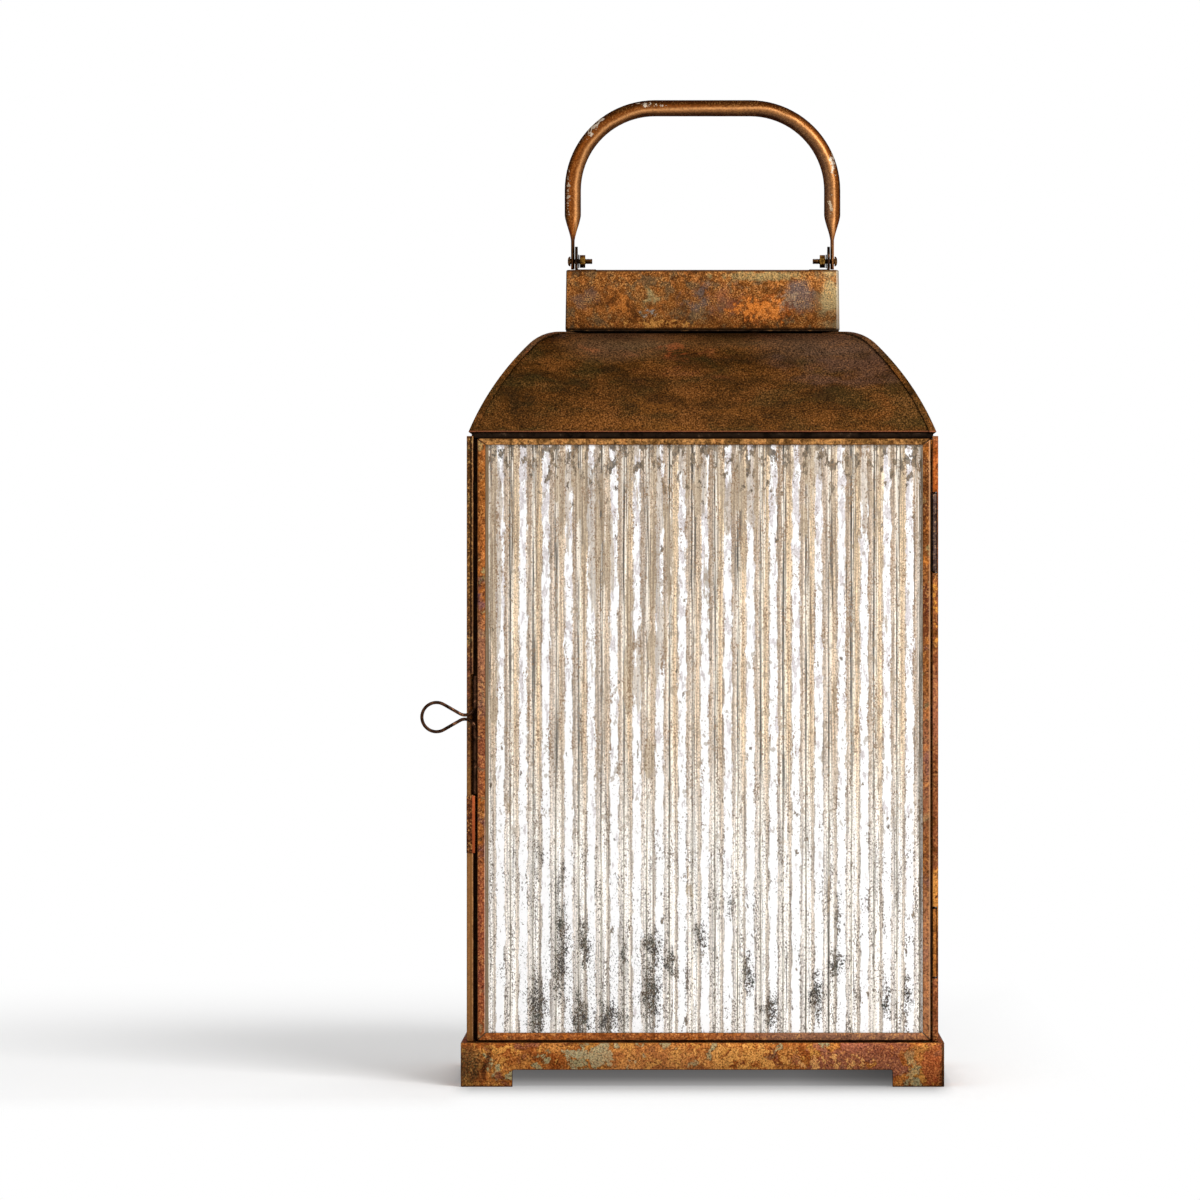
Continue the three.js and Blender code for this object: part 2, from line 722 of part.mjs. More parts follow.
function addLatch() {
  const legX = doorLeft - seat - latchWire;
  const legY = -halfDepth + 0.1;
  const planeY = -halfDepth - seat - latchWire;
  const depthAt = (x) => {
    const share = THREE.MathUtils.clamp((x - legX + latchBlend) / latchBlend, 0, 1);
    return planeY + (legY - planeY) * share;
  };
  const upper = latchHalfPath(legX, latchUpperLeg);
  const lower = latchHalfPath(legX, latchLowerLeg).reverse().slice(1);
  const outline = [...upper, ...lower.map((p) => new THREE.Vector2(p.x, -p.y))];
  const path = outline.map((p) => new THREE.Vector3(p.x, depthAt(p.x), latchZ + p.y));
  addPiece("latch_loop", sweptTube(path, latchWire, 8), metal(0x4b3528, 0.4));

  const clipX = doorLeft - seat - catchSheet - catchBulge;
  const front = -halfDepth - seat - catchSheet;
  const middle = -halfDepth + catchDepth / 2;
  const clip = [
    new THREE.Vector2(clipX - catchWidth, front),
    new THREE.Vector2(clipX + catchSheet, front),
    new THREE.Vector2(clipX + catchSheet, -halfDepth),
    new THREE.Vector2(clipX + catchSheet + catchBulge, middle),
    new THREE.Vector2(clipX + catchSheet, -halfDepth + catchDepth),
  ];
  const top = latchZ - latchLowerLeg - catchDrop;
  const strip = uprightBar(foldedOutline(clip, catchSheet), top - catchHeight, top);
  addPiece("door_catch", strip, metal(0x6a3a22, 0.45));
}

function addRing() {
  const halfX = roofHalfWidth - ringInset;
  const halfY = roofHalfDepth - ringInset - sheet;
  const path = flatPoints([[ringTop, 0], [ringBottom, 0], [ringBottom, ringLeg]]);
  addPiece("eave_ring", rectangularRing(halfX, halfY, foldedOutline(path, -sheet)), metal(0x2f231a, 0.6));
}

// Roof curve as run in from the eave and height, set out from the panel face by an offset
function roofCurve(offset) {
  const points = [new THREE.Vector2(-offset / Math.sin(eaveAngle), eaveHeight)];
  const mainCentreRun = roofMainRadius * Math.sin(eaveAngle);
  const mainCentreZ = eaveHeight - roofMainRadius * Math.cos(eaveAngle);
  const shoulderCentreZ = eaveHeight + roofRise - roofShoulderRadius;
  const onArc = (centreRun, centreZ, radius, angle) => {
    const reach = radius + offset;
    return new THREE.Vector2(centreRun - reach * Math.sin(angle), centreZ + reach * Math.cos(angle));
  };
  for (let i = 1; i <= roofMainSteps; i += 1) {
    const angle = eaveAngle + ((shoulderAngle - eaveAngle) * i) / roofMainSteps;
    points.push(onArc(mainCentreRun, mainCentreZ, roofMainRadius, angle));
  }
  for (let i = 1; i <= roofShoulderSteps; i += 1) {
    const angle = shoulderAngle * (1 - i / roofShoulderSteps);
    points.push(onArc(flatRun, shoulderCentreZ, roofShoulderRadius, angle));
  }
  points.push(new THREE.Vector2(openingRun, eaveHeight + roofRise + offset));
  return points;
}

// Front or back panel: plain mitred ends, and a lip turned in along the eave
function roofFace(side) {
  const outer = [new THREE.Vector2(eaveLip, eaveHeight), ...roofCurve(0)];
  const cornerRun = sheet / Math.sin(eaveAngle) + sheet / Math.tan(eaveAngle);
  const inner = [
    new THREE.Vector2(eaveLip, eaveHeight + sheet),
    new THREE.Vector2(cornerRun, eaveHeight + sheet),
    ...roofCurve(-sheet).slice(1),
  ];
  const row = (p) =>
    [-1, 1].map((end) => new THREE.Vector3(end * (roofHalfWidth - p.x), side * (roofHalfDepth - p.x), p.y));
  return thickSheet(outer.map(row), inner.map(row));
}

// Side panel: its edges fold over the hips and lap onto the front and back panels
function roofSide(side) {
  const row = (p) => {
    const x = roofHalfWidth - p.x;
    const y = roofHalfDepth - p.x;
    const plan = [[x - seamLap, -y], [x, -y], [x, y], [x - seamLap, y]];
    return plan.map(([px, py]) => new THREE.Vector3(side * px, py, p.y));
  };
  return thickSheet(roofCurve(seamOver).map(row), roofCurve(seamUnder).map(row));
}

function addRoof() {
  addPiece("roof_front", roofFace(-1), metal(0x4a2f1b, 0.5));
  addPiece("roof_back", roofFace(1), metal(0x46301d, 0.5));
  addPiece("roof_left", roofSide(-1), metal(0x4d3420, 0.5));
  addPiece("roof_right", roofSide(1), metal(0x49311e, 0.5));
  const path = flatPoints([
    [collarBottom, seat - collarPlay - chimneyWall],
    [collarBottom, collarSheet],
    [collarBottom + collarHeight, collarSheet],
  ]);
  const collar = rectangularRing(collarOutX, collarOutY, foldedOutline(path, -collarSheet));
  addPiece("roof_collar", collar, metal(0x3a2a1c, 0.55));
}

// Rounded rectangle as a ring of points at one height
function roundedRing(halfX, halfY, radius, z) {
  const x = halfX - radius;
  const y = halfY - radius;
  const quarter = Math.PI / 2;
  const corners = [[x, y], [-x, y], [-x, -y], [x, -y]];
  const points = corners.flatMap(([cx, cy], i) => arcPoints(cx, cy, radius, i * quarter, (i + 1) * quarter, 3));
  return points.map((p) => new THREE.Vector3(p.x, p.y, z));
}

// Chimney: tapered box of sheet, open below, with a row of vents in its top
function addChimney() {
  const skin = (inset, low, high, edge) => {
    const rings = [roundedRing(chimneyHalfX - inset, chimneyHalfY - inset, chimneyCorner - inset / 2, low)];
    for (const [drop, pull] of [[1, 0], [0.3, 0.3], [0, 1]]) {
      const shrink = chimneyTaper + inset + edge * pull;
      const radius = chimneyCorner - inset / 2;
      rings.push(roundedRing(chimneyHalfX - shrink, chimneyHalfY - shrink, radius, high - edge * drop));
    }
    return loft(rings);
  };
  const outer = skin(0, chimneyBottom, chimneyTop, chimneyEdge);
  const inner = skin(chimneyWall, chimneyBottom - 1, chimneyTop - chimneyWall, chimneyEdge / 2);
  const vents = [];
  for (let i = 0; i < ventCount; i += 1) {
    vents.push(ventCutter((i - (ventCount - 1) / 2) * ventPitch));
  }
  addPiece("chimney", cut(outer, inner, ...vents), metal(0x8a5a2e, 0.48));
}

function ventCutter(x) {
  const shape = new THREE.Shape();
  const straight = (ventLength - ventWidth) / 2;
  shape.absarc(0, straight, ventWidth / 2, 0, Math.PI);
  shape.absarc(0, -straight, ventWidth / 2, Math.PI, 2 * Math.PI);
  const depth = 6 * chimneyWall;
  const slot = new THREE.ExtrudeGeometry(shape, { depth, bevelEnabled: false, curveSegments: 5 });
  return slot.translate(x, 0, chimneyTop - depth / 2);
}

// Bracket on the chimney's top: a foot, a bend and a round-topped tab with the pivot hole
function bracket(side) {
  const footZ = chimneyTop + seat;
  const bend = arcPoints(-bracketBend, bracketBend, bracketBend, -Math.PI / 2, 0, 4);
  const path = [
    new THREE.Vector2(-bracketFoot, 0),
    ...bend,
    new THREE.Vector2(0, bracketRise),
  ];
  const outline = foldedOutline(path, bracketSheet);
  const half = bracketWidth / 2;
  const strip = loft(
    [-half, half].map((y) => outline.map((p) => new THREE.Vector3(side * (tabOutX + p.x), y, footZ + p.y))),
  );
  const crown = new THREE.Shape();
  crown.moveTo(-half - 1, bracketRise - half);
  crown.lineTo(-half, bracketRise - half);
  crown.absarc(0, bracketRise - half, half, Math.PI, 0, true);
  crown.lineTo(half + 1, bracketRise - half);
  crown.lineTo(half + 1, bracketRise + 1);
  crown.lineTo(-half - 1, bracketRise + 1);
  const depth = 3 * bracketBend;
  const trim = new THREE.ExtrudeGeometry(crown, { depth, bevelEnabled: false, curveSegments: 10 });
  trim.rotateX(Math.PI / 2).rotateZ(Math.PI / 2);
  trim.translate(side * tabOutX - depth / 2, 0, footZ);
  const hole = roundCutter(screwHole, depth, "x", new THREE.Vector3(side * tabOutX, 0, pivotZ));
  return cut(strip, trim, hole);
}

// Piece of revolution whose axis is the pivot line; the profile's height runs outward
function onPivot(profile, side, segments) {
  const geometry = new THREE.LatheGeometry(profile, segments);
  geometry.rotateZ(-Math.PI / 2);
  if (side < 0) geometry.rotateZ(Math.PI);
  return geometry.translate(0, 0, pivotZ);
}

function addPivot(name, side) {
  addPiece(`${name}_bracket`, bracket(side), metal(0x3d2c22, 0.5));

  const headIn = bailX + bailFlatHalf + seat;
  const headOut = headIn + screwHeadHeight;
  const screwIn = tabOutX - screwReach;
  const screw = flatPoints([
    [0, screwIn],
    [screwRadius * 0.8, screwIn],
    [screwRadius, screwIn + screwPoint],
    [screwRadius, headIn],
    [screwHeadRadius, headIn],
    [screwHeadRadius, headIn + screwHeadHeight * 0.4],
    [screwHeadRadius * 0.75, headIn + screwHeadHeight * 0.85],
    [screwHeadRadius * 0.3, headOut],
    [0, headOut],
  ]);
  addPiece(`${name}_screw`, onPivot(screw, side, 16), metal(0x7a5a34, 0.4));

  const washerOut = tabOutX - bracketSheet - seat;
  const washerIn = washerOut - washerThickness;
  const washer = flatPoints([
    [screwHole, washerIn],
    [washerRadius, washerIn],
    [washerRadius, washerOut],
    [screwHole, washerOut],
    [screwHole, washerIn],
  ]);
  addPiece(`${name}_washer`, onPivot(washer, side, 20), metal(0x2c211a, 0.5));

  const nut = new THREE.Shape();
  const corner = nutAcross / Math.sqrt(3);
  for (let i = 0; i < 6; i += 1) {
    const angle = (i * Math.PI) / 3;
    nut[i === 0 ? "moveTo" : "lineTo"](corner * Math.cos(angle), corner * Math.sin(angle));
  }
  const bore = new THREE.Path();
  bore.absarc(0, 0, screwHole, 0, 2 * Math.PI, true);
  nut.holes.push(bore);
  const block = new THREE.ExtrudeGeometry(nut, { depth: nutHeight, bevelEnabled: false, curveSegments: 10 });
  block.rotateY(Math.PI / 2).translate(-nutHeight / 2, 0, pivotZ);
  block.translate(side * (washerIn - seat - nutHeight / 2), 0, 0);
  addPiece(`${name}_nut`, block, metal(0xa3722f, 0.4));
}

// Section of the bail: a round tube that flattens towards its drilled ends
function bailSections() {
  const sections = [];
  for (const angle of [-80, -60, -38, -16]) {
    const turn = THREE.MathUtils.degToRad(angle);
    sections.push({ rise: bailEnd * Math.sin(turn), half: bailFlatHalf, width: bailEnd * Math.cos(turn) });
  }
  const swell = (from, to, share) => from + (to - from) * share * share * (3 - 2 * share);
  for (const share of [0, 0.5, 1]) {
    const width = swell(bailEnd, bailFlatWidth, share);
    sections.push({ rise: (bailFlatLength * (share + 0.15)) / 1.15, half: bailFlatHalf, width });
  }
  for (const share of [0.2, 0.4, 0.6, 0.8, 1]) {
    const rounded = (share + swell(0, 1, share)) / 2;
    sections.push({
      rise: bailFlatLength + bailTaper * share,
      half: bailFlatHalf + (bailTube - bailFlatHalf) * rounded,
      width: bailFlatWidth + (bailTube - bailFlatWidth) * rounded,
    });
  }
  return sections;
}

// Ring of the bail's section: an oval that grows squarer as the tube is pressed flat
function bailRing(centre, inward, half, width) {
  const flatness = 1 - half / bailTube;
  const power = 1 / (1 + flatness);
  const ring = [];
  for (let i = 0; i < 16; i += 1) {
    const angle = (2 * Math.PI * (i + 0.5)) / 16;
    const c = Math.cos(angle);
    const s = Math.sin(angle);
    const point = centre.clone();
    point.addScaledVector(inward, half * Math.sign(c) * Math.abs(c) ** power);
    point.y += width * Math.sign(s) * Math.abs(s) ** power;
    ring.push(point);
  }
  return ring;
}

function addBail() {
  const half = bailSections().map(({ rise, half: thin, width }) =>
    bailRing(new THREE.Vector3(bailX, 0, pivotZ + rise), new THREE.Vector3(1, 0, 0), thin, width),
  );
  const steps = 9;
  for (let i = 0; i <= steps; i += 1) {
    const turn = (i * Math.PI) / 2 / steps;
    const outward = new THREE.Vector3(Math.cos(turn), 0, Math.sin(turn));
    const centre = new THREE.Vector3(bailX - bailCorner, 0, pivotZ + bailRise - bailCorner);
    half.push(bailRing(centre.addScaledVector(outward, bailCorner), outward, bailTube, bailTube));
  }
  const mirrored = half.map((ring) => ring.map((p) => new THREE.Vector3(-p.x, p.y, p.z)));
  const tube = loft([...half, ...mirrored.reverse()]);
  const pivots = [-1, 1].map((side) =>
    roundCutter(screwHole, 6, "x", new THREE.Vector3(side * bailX, 0, pivotZ)),
  );
  addPiece("bail", cut(tube, ...pivots), metal(0x6f4f2e, 0.38));
}

addPlinth();
addCandleFloor();
addPosts();
addFixedFrames();
addDoor();
hinges().forEach(addHinge);
addLatch();
addRing();
addRoof();
addChimney();
addPivot("left", -1);
addPivot("right", 1);
addBail();

lantern.position.z = -floorTop;

export default lantern;
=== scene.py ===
"""Looks of a candle lantern with ribbed mercury-glass panes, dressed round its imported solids."""

import logging
import math
from collections.abc import Callable, Iterator
from contextlib import contextmanager
from dataclasses import dataclass, replace
from enum import Enum

import bmesh
import bpy
from mathutils import Matrix, Vector


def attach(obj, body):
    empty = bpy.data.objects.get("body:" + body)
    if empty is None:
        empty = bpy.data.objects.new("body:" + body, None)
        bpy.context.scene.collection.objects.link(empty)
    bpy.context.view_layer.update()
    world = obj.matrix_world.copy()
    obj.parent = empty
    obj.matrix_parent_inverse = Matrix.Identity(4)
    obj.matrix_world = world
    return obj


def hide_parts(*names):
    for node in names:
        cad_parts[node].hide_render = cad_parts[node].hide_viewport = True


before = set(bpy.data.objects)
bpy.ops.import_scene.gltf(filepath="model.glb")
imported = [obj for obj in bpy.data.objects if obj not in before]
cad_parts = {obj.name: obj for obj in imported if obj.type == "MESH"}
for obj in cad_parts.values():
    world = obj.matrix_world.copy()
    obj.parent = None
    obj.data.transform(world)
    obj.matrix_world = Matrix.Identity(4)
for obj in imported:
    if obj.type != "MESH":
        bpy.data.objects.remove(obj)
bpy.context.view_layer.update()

MM = 0.001
WELD = 1e-6  # m, widest gap between doubled points
SEAM = 2e-5  # m, widest gap where drawn curves are to meet
logging.basicConfig(level=logging.INFO, format="%(message)s")
log = logging.getLogger("lantern")

Test = Callable[[list[Vector]], bool]
Triple = tuple[float, float, float]
Stops = tuple[tuple[float, str], ...]
Socket = bpy.types.NodeSocket
Piece = bpy.types.Object
Material = bpy.types.Material


class Facing(Enum):
    """Sides of the lantern, as turns about the upright axis from the front, in degrees."""

    FRONT = 0
    RIGHT = 90
    BACK = 180
    LEFT = 270

    def turn(self) -> Matrix:
        """The turn that takes the front to this side."""
        return Matrix.Rotation(math.radians(self.value), 4, "Z")


# Bench: picking, editing and finishing pieces


def pick(*pieces: Piece) -> None:
    """Selects just these pieces and makes the first one active."""
    bpy.ops.object.select_all(action="DESELECT")
    for piece in pieces:
        piece.select_set(True)
    bpy.context.view_layer.objects.active = pieces[0]


@contextmanager
def editing(piece: Piece, mode: str = "VERT", whole: bool = False) -> Iterator[None]:
    """Edit mode on one piece.

    Args:
        piece: The piece to shape.
        mode: VERT, EDGE or FACE.
        whole: Starts with all of it selected, and otherwise with nothing.
    """
    pick(piece)
    bpy.ops.object.mode_set(mode="EDIT")
    bpy.ops.mesh.select_mode(type=mode)
    bpy.ops.mesh.select_all(action="SELECT" if whole else "DESELECT")
    try:
        yield
    finally:
        bpy.ops.object.mode_set(mode="OBJECT")


def choose(piece: Piece, test: Test, kind: str = "verts") -> None:
    """Selects, in edit mode, just the parts whose corner points pass a test.

    Args:
        piece: The piece in edit mode.
        test: Takes the list of the part's corner points.
        kind: verts, edges or faces.
    """
    bpy.ops.mesh.select_all(action="DESELECT")
    mesh = bmesh.from_edit_mesh(piece.data)
    for part in getattr(mesh, kind):
        points = [part.co] if kind == "verts" else [v.co for v in part.verts]
        if test(points):
            part.select_set(True)
    bmesh.update_edit_mesh(piece.data)


def extrude(move: Triple) -> None:
    """Extrudes what is selected and moves the new part."""
    bpy.ops.mesh.extrude_region_move(TRANSFORM_OT_translate={"value": move})


def resize(value: Triple, about: Vector) -> None:
    """Scales what is selected in edit mode about a point."""
    bpy.ops.transform.resize(value=value, center_override=tuple(about))


def spin(centre: Vector, axis: Triple, degrees: float, steps: int) -> None:
    """Spins what is selected about an axis, right-handed, and leaves the far end selected."""
    bpy.ops.mesh.spin(steps=steps, angle=-math.radians(degrees), center=tuple(centre), axis=axis)


def settle(piece: Piece, place: Matrix | None = None) -> None:
    """Puts a piece's place, turn and scale into its mesh.

    Args:
        piece: The piece.
        place: Where it goes first, if not where it is.
    """
    if place is not None:
        piece.matrix_world = place
    pick(piece)
    bpy.ops.object.transform_apply(location=True, rotation=True, scale=True)


def modify(piece: Piece, kind: str, **settings: object) -> None:
    """Adds a modifier and applies it.

    Args:
        piece: The piece.
        kind: The modifier's type.
        **settings: The modifier's own settings.
    """
    pick(piece)
    step = piece.modifiers.new(kind.title(), kind)
    for name, value in settings.items():
        setattr(step, name, value)
    bpy.ops.object.modifier_apply(modifier=step.name)


def tidy(piece: Piece, gap: float = WELD) -> None:
    """Merges doubled points up to a gap in metres and turns every face outwards."""
    with editing(piece, whole=True):
        bpy.ops.mesh.remove_doubles(threshold=gap)
        bpy.ops.mesh.normals_make_consistent(inside=False)


def slice_off(piece: Piece, point: Vector, normal: Vector) -> None:
    """Cuts away what lies beyond a plane and leaves the cut open."""
    with editing(piece, whole=True):
        bpy.ops.mesh.bisect(plane_co=point, plane_no=normal, clear_outer=True)


def joined(name: str, *pieces: Piece) -> Piece:
    """Joins pieces into the first one.

    Args:
        name: What the whole is called.
        *pieces: Two pieces or more.

    Returns:
        The whole.
    """
    pick(*pieces)
    bpy.ops.object.join()
    pieces[0].name = name
    return pieces[0]


def drill(piece: Piece, cutter: Piece) -> None:
    """Cuts one piece with another, which is used up."""
    modify(piece, "BOOLEAN", object=cutter, operation="DIFFERENCE", solver="EXACT")
    bpy.data.objects.remove(cutter)


def cylinder(radius: float, low: Vector, high: Vector, sides: int) -> Piece:
    """Makes a round bar with its place in its mesh.

    Args:
        radius: Its radius in metres.
        low: Middle of one end.
        high: Middle of the other end.
        sides: Number of its sides.

    Returns:
        The bar.
    """
    bpy.ops.object.select_all(action="DESELECT")
    along = high - low
    bpy.ops.mesh.primitive_cylinder_add(vertices=sides, radius=radius, depth=along.length)
    bar = bpy.context.active_object
    settle(bar, Matrix.Translation((low + high) / 2) @ along.to_track_quat("Z", "Y").to_matrix().to_4x4())
    return bar


def block(low: Vector, high: Vector) -> Piece:
    """Makes a box with its place in its mesh.

    Args:
        low: Its lowest corner.
        high: Its highest corner.

    Returns:
        The box.
    """
    bpy.ops.object.select_all(action="DESELECT")
    bpy.ops.mesh.primitive_cube_add(size=1, location=(low + high) / 2)
    box = bpy.context.active_object
    box.scale = high - low
    settle(box)
    return box


def disc(radius: float, sides: int, fill: str, place: Triple | Vector = (0, 0, 0)) -> Piece:
    """Makes a level disc or ring of points, from which a bar is drawn out.

    Args:
        radius: Its radius in metres.
        sides: Number of its points.
        fill: NGON for a disc, NOTHING for a ring.
        place: Its middle.

    Returns:
        The disc.
    """
    bpy.ops.object.select_all(action="DESELECT")
    bpy.ops.mesh.primitive_circle_add(vertices=sides, radius=radius, fill_type=fill, location=place)
    piece = bpy.context.active_object
    settle(piece)
    return piece


def thread_line(low: Vector, high: Vector) -> Piece:
    """Makes a single edge, from which a sheet is drawn out.

    Args:
        low: Its one end.
        high: Its other end.

    Returns:
        The edge.
    """
    bpy.ops.object.select_all(action="DESELECT")
    bpy.ops.mesh.primitive_plane_add(size=1)
    line = bpy.context.active_object
    with editing(line):
        choose(line, lambda points: points[0].y > 0)
        bpy.ops.mesh.delete(type="VERT")
        bpy.ops.mesh.select_all(action="SELECT")
        bpy.ops.transform.translate(value=(0, 0.5, 0))
    along = high - low
    turn = Vector((1, 0, 0)).rotation_difference(along).to_matrix().to_4x4()
    settle(line, Matrix.Translation((low + high) / 2) @ turn @ Matrix.Diagonal((along.length, 1, 1, 1)))
    return line


def dress(
    piece: Piece,
    name: str,
    body: str,
    nodes: tuple[str, ...],
    materials: tuple[Material, ...] = (),
    smooth: float = 33.0,
) -> Piece:
    """Names and shades a finished piece, gives it its materials and hangs it on its body.

    Args:
        piece: The piece, with its place in its mesh.
        name: Its name.
        body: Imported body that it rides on.
        nodes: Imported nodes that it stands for.
        materials: Its materials, where it has none yet.
        smooth: Widest angle in degrees that is still shaded as one surface.

    Returns:
        The piece.
    """
    piece.name = piece.data.name = name
    for material in materials:
        piece.data.materials.append(material)
    pick(piece)
    bpy.ops.object.shade_smooth_by_angle(angle=math.radians(smooth))
    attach(piece, body)
    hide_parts(*nodes)
    log.info("%s: %d faces on %s", name, len(piece.data.polygons), body)
    return piece


def softened(node: str, body: str, faces: Material, edges: Material, width: float = 0.3) -> Piece:
    """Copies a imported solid, rounds its edges as sheet metal's are, and dresses it.

    Args:
        node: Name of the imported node.
        body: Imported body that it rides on.
        faces: The faces' material.
        edges: The rounded edges' material.
        width: Width of the rounding in millimetres.

    Returns:
        The copy.
    """
    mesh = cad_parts[node].data.copy()
    mesh.materials.clear()
    for material in (faces, edges):
        mesh.materials.append(material)
    piece = bpy.data.objects.new(f"{node}_rounded", mesh)
    bpy.context.scene.collection.objects.link(piece)
    pick(piece)
    bpy.ops.mesh.customdata_custom_splitnormals_clear()
    with editing(piece, whole=True):
        bpy.ops.mesh.remove_doubles(threshold=WELD)
        bpy.ops.mesh.dissolve_limited(angle_limit=math.radians(0.5))
    fold = math.radians(32)
    modify(piece, "BEVEL", width=width * MM, segments=2, limit_method="ANGLE", angle_limit=fold, material=1)
    return dress(piece, f"{node}_sheet", body, (node,))


# Finishes

# Browned metal mirrors little light at a low angle, and what it mirrors is warm
BROWNED = {"Metallic": 0.92, "Specular IOR Level": 0.3, "Specular Tint": "#6e5a4a"}


def linear(shade: str) -> tuple[float, float, float, float]:
    """Turns an sRGB hex colour into linear values with full alpha."""
    values = [int(shade[i : i + 2], 16) / 255 for i in (1, 3, 5)]
    return (*[v / 12.92 if v <= 0.04045 else ((v + 0.055) / 1.055) ** 2.4 for v in values], 1.0)


class Tree:
    """The node tree of a new material or world."""

    def __init__(self, owner: Material | bpy.types.World) -> None:
        """Takes over the owner's node tree and empties it.

        Args:
            owner: The material or world.
        """
        owner.use_nodes = True
        self.owner = owner
        self.nodes, self.links = owner.node_tree.nodes, owner.node_tree.links
        self.nodes.clear()

    def add(
        self,
        kind: str,
        inputs: tuple[object, ...] | dict[str, object] = (),
        out: str | int = 0,
        stops: Stops = (),
        **settings: object,
    ) -> Socket | None:
        """Adds one node with its settings and links.

        Args:
            kind: Node type, without its ShaderNode prefix.
            inputs: What goes into its sockets, in their order or by their names. Each is another
                node's output, a number, a vector or a hex colour.
            out: Which output to return.
            stops: Places and shades of a colour ramp.
            **settings: The node's own settings.

        Returns:
            The chosen output, or nothing where the node has none.
        """
        node = self.nodes.new(f"ShaderNode{kind}")
        for name, value in settings.items():
            setattr(node, name, value)
        if isinstance(inputs, dict):
            pairs = [(node.inputs[name], value) for name, value in inputs.items()]
        else:
            pairs = zip([socket for socket in node.inputs if socket.enabled], inputs)
        for socket, value in pairs:
            if isinstance(value, Socket):
                self.links.new(value, socket)
            else:
                socket.default_value = linear(value) if isinstance(value, str) else value
        if stops:
            ramp = node.color_ramp.elements
            while len(ramp) < len(stops):
                ramp.new(1.0)
            for element, (at, shade) in zip(ramp, stops):
                element.position, element.color = at, linear(shade)
        if isinstance(out, str):
            return node.outputs[out]
        outputs = [socket for socket in node.outputs if socket.enabled]
        return outputs[out] if outputs else None


@dataclass(frozen=True)
class Mark:
    """One smear, as an oval with soft edges in an upright plane. Sizes in millimetres."""

    across: float
    up: float
    half_across: float
    half_up: float
    shade: str = "#5a5048"  # where the mark is laid by itself
    strength: float = 1.0
    lean: float = 0.0

    def mask(self, tree: Tree, where: Socket, axis: int, soft: float = 0.65) -> Socket:
        """The oval's mask, from 0 outside to its strength inside.

        Args:
            tree: The material.
            where: Position.
            axis: 0 where across is X, 1 where it is Y.
            soft: Share of the oval that fades.

        Returns:
            The mask.
        """
        centre, half, turn = [0.0, 0.0, self.up * MM], [1e3, 1e3, self.half_up * MM], [0.0, 0.0, 0.0]
        centre[axis], half[axis] = self.across * MM, self.half_across * MM
        turn[1 - axis] = math.radians(self.lean)
        placed = tree.add("Mapping", (where, centre, turn, half), vector_type="TEXTURE")
        reach = tree.add("VectorMath", (placed,), operation="LENGTH")
        fade = (reach, 1.0, 1.0 - soft, 0.0, self.strength)
        return tree.add("MapRange", fade, interpolation_type="SMOOTHSTEP")


@dataclass(frozen=True)
class Band:
    """A strip of another shade between two heights or upright lines. Sizes in millimetres."""

    axis: int
    low: float
    high: float
    shade: str
    strength: float = 1.0
    fade: float = 0.6
    top: float | None = None  # height at which an upright band ends
    runout: float = 15.0  # distance to each side of its top over which it ends


@dataclass(frozen=True)
class Stain:
    """Islands of one shade with a darker rim, as acid or heat leaves on steel."""

    shade: str
    level: float  # the field above which the island shows, where 0.5 is half the sheet
    size: float  # mm
    rim: str = "#3a2010"
    rim_strength: float = 0.6
    crisp: float = 0.012
    strength: float = 1.0
    near: Mark | None = None  # keeps the islands to one region


class Sheet:
    """Position and noise on one metal, which all its layers read."""

    def __init__(self, finish: "Patina") -> None:
        """Lays out the noise.

        Args:
            finish: The finish that it is for.
        """
        self.tree = tree = Tree(bpy.data.materials.new(finish.name))
        self.place = tree.add("TexCoord", out="Object")
        offset = (finish.seed, 0.37 * finish.seed, 0.71 * finish.seed)
        moved = tree.add("Mapping", {"Vector": self.place, "Location": offset, "Scale": finish.stretch})
        drift = tree.add("TexNoise", (moved, 1 / (finish.patch / 0.8 * MM), 3.0, 0.6), "Color")
        self.swing = tree.add("VectorMath", (drift, (0.5, 0.5, 0.5)), operation="SUBTRACT")
        push = (self.swing, (0.9 * finish.patch * MM,) * 3, moved)
        self.warped = tree.add("VectorMath", push, operation="MULTIPLY_ADD")  # for ragged outlines
        self.cloud = tree.add("TexNoise", (self.warped, 1 / (finish.patch * MM), 8.0, 0.64))
        self.fine = tree.add("TexNoise", (self.place, 1 / (finish.grain * MM), 3.0, 0.7))


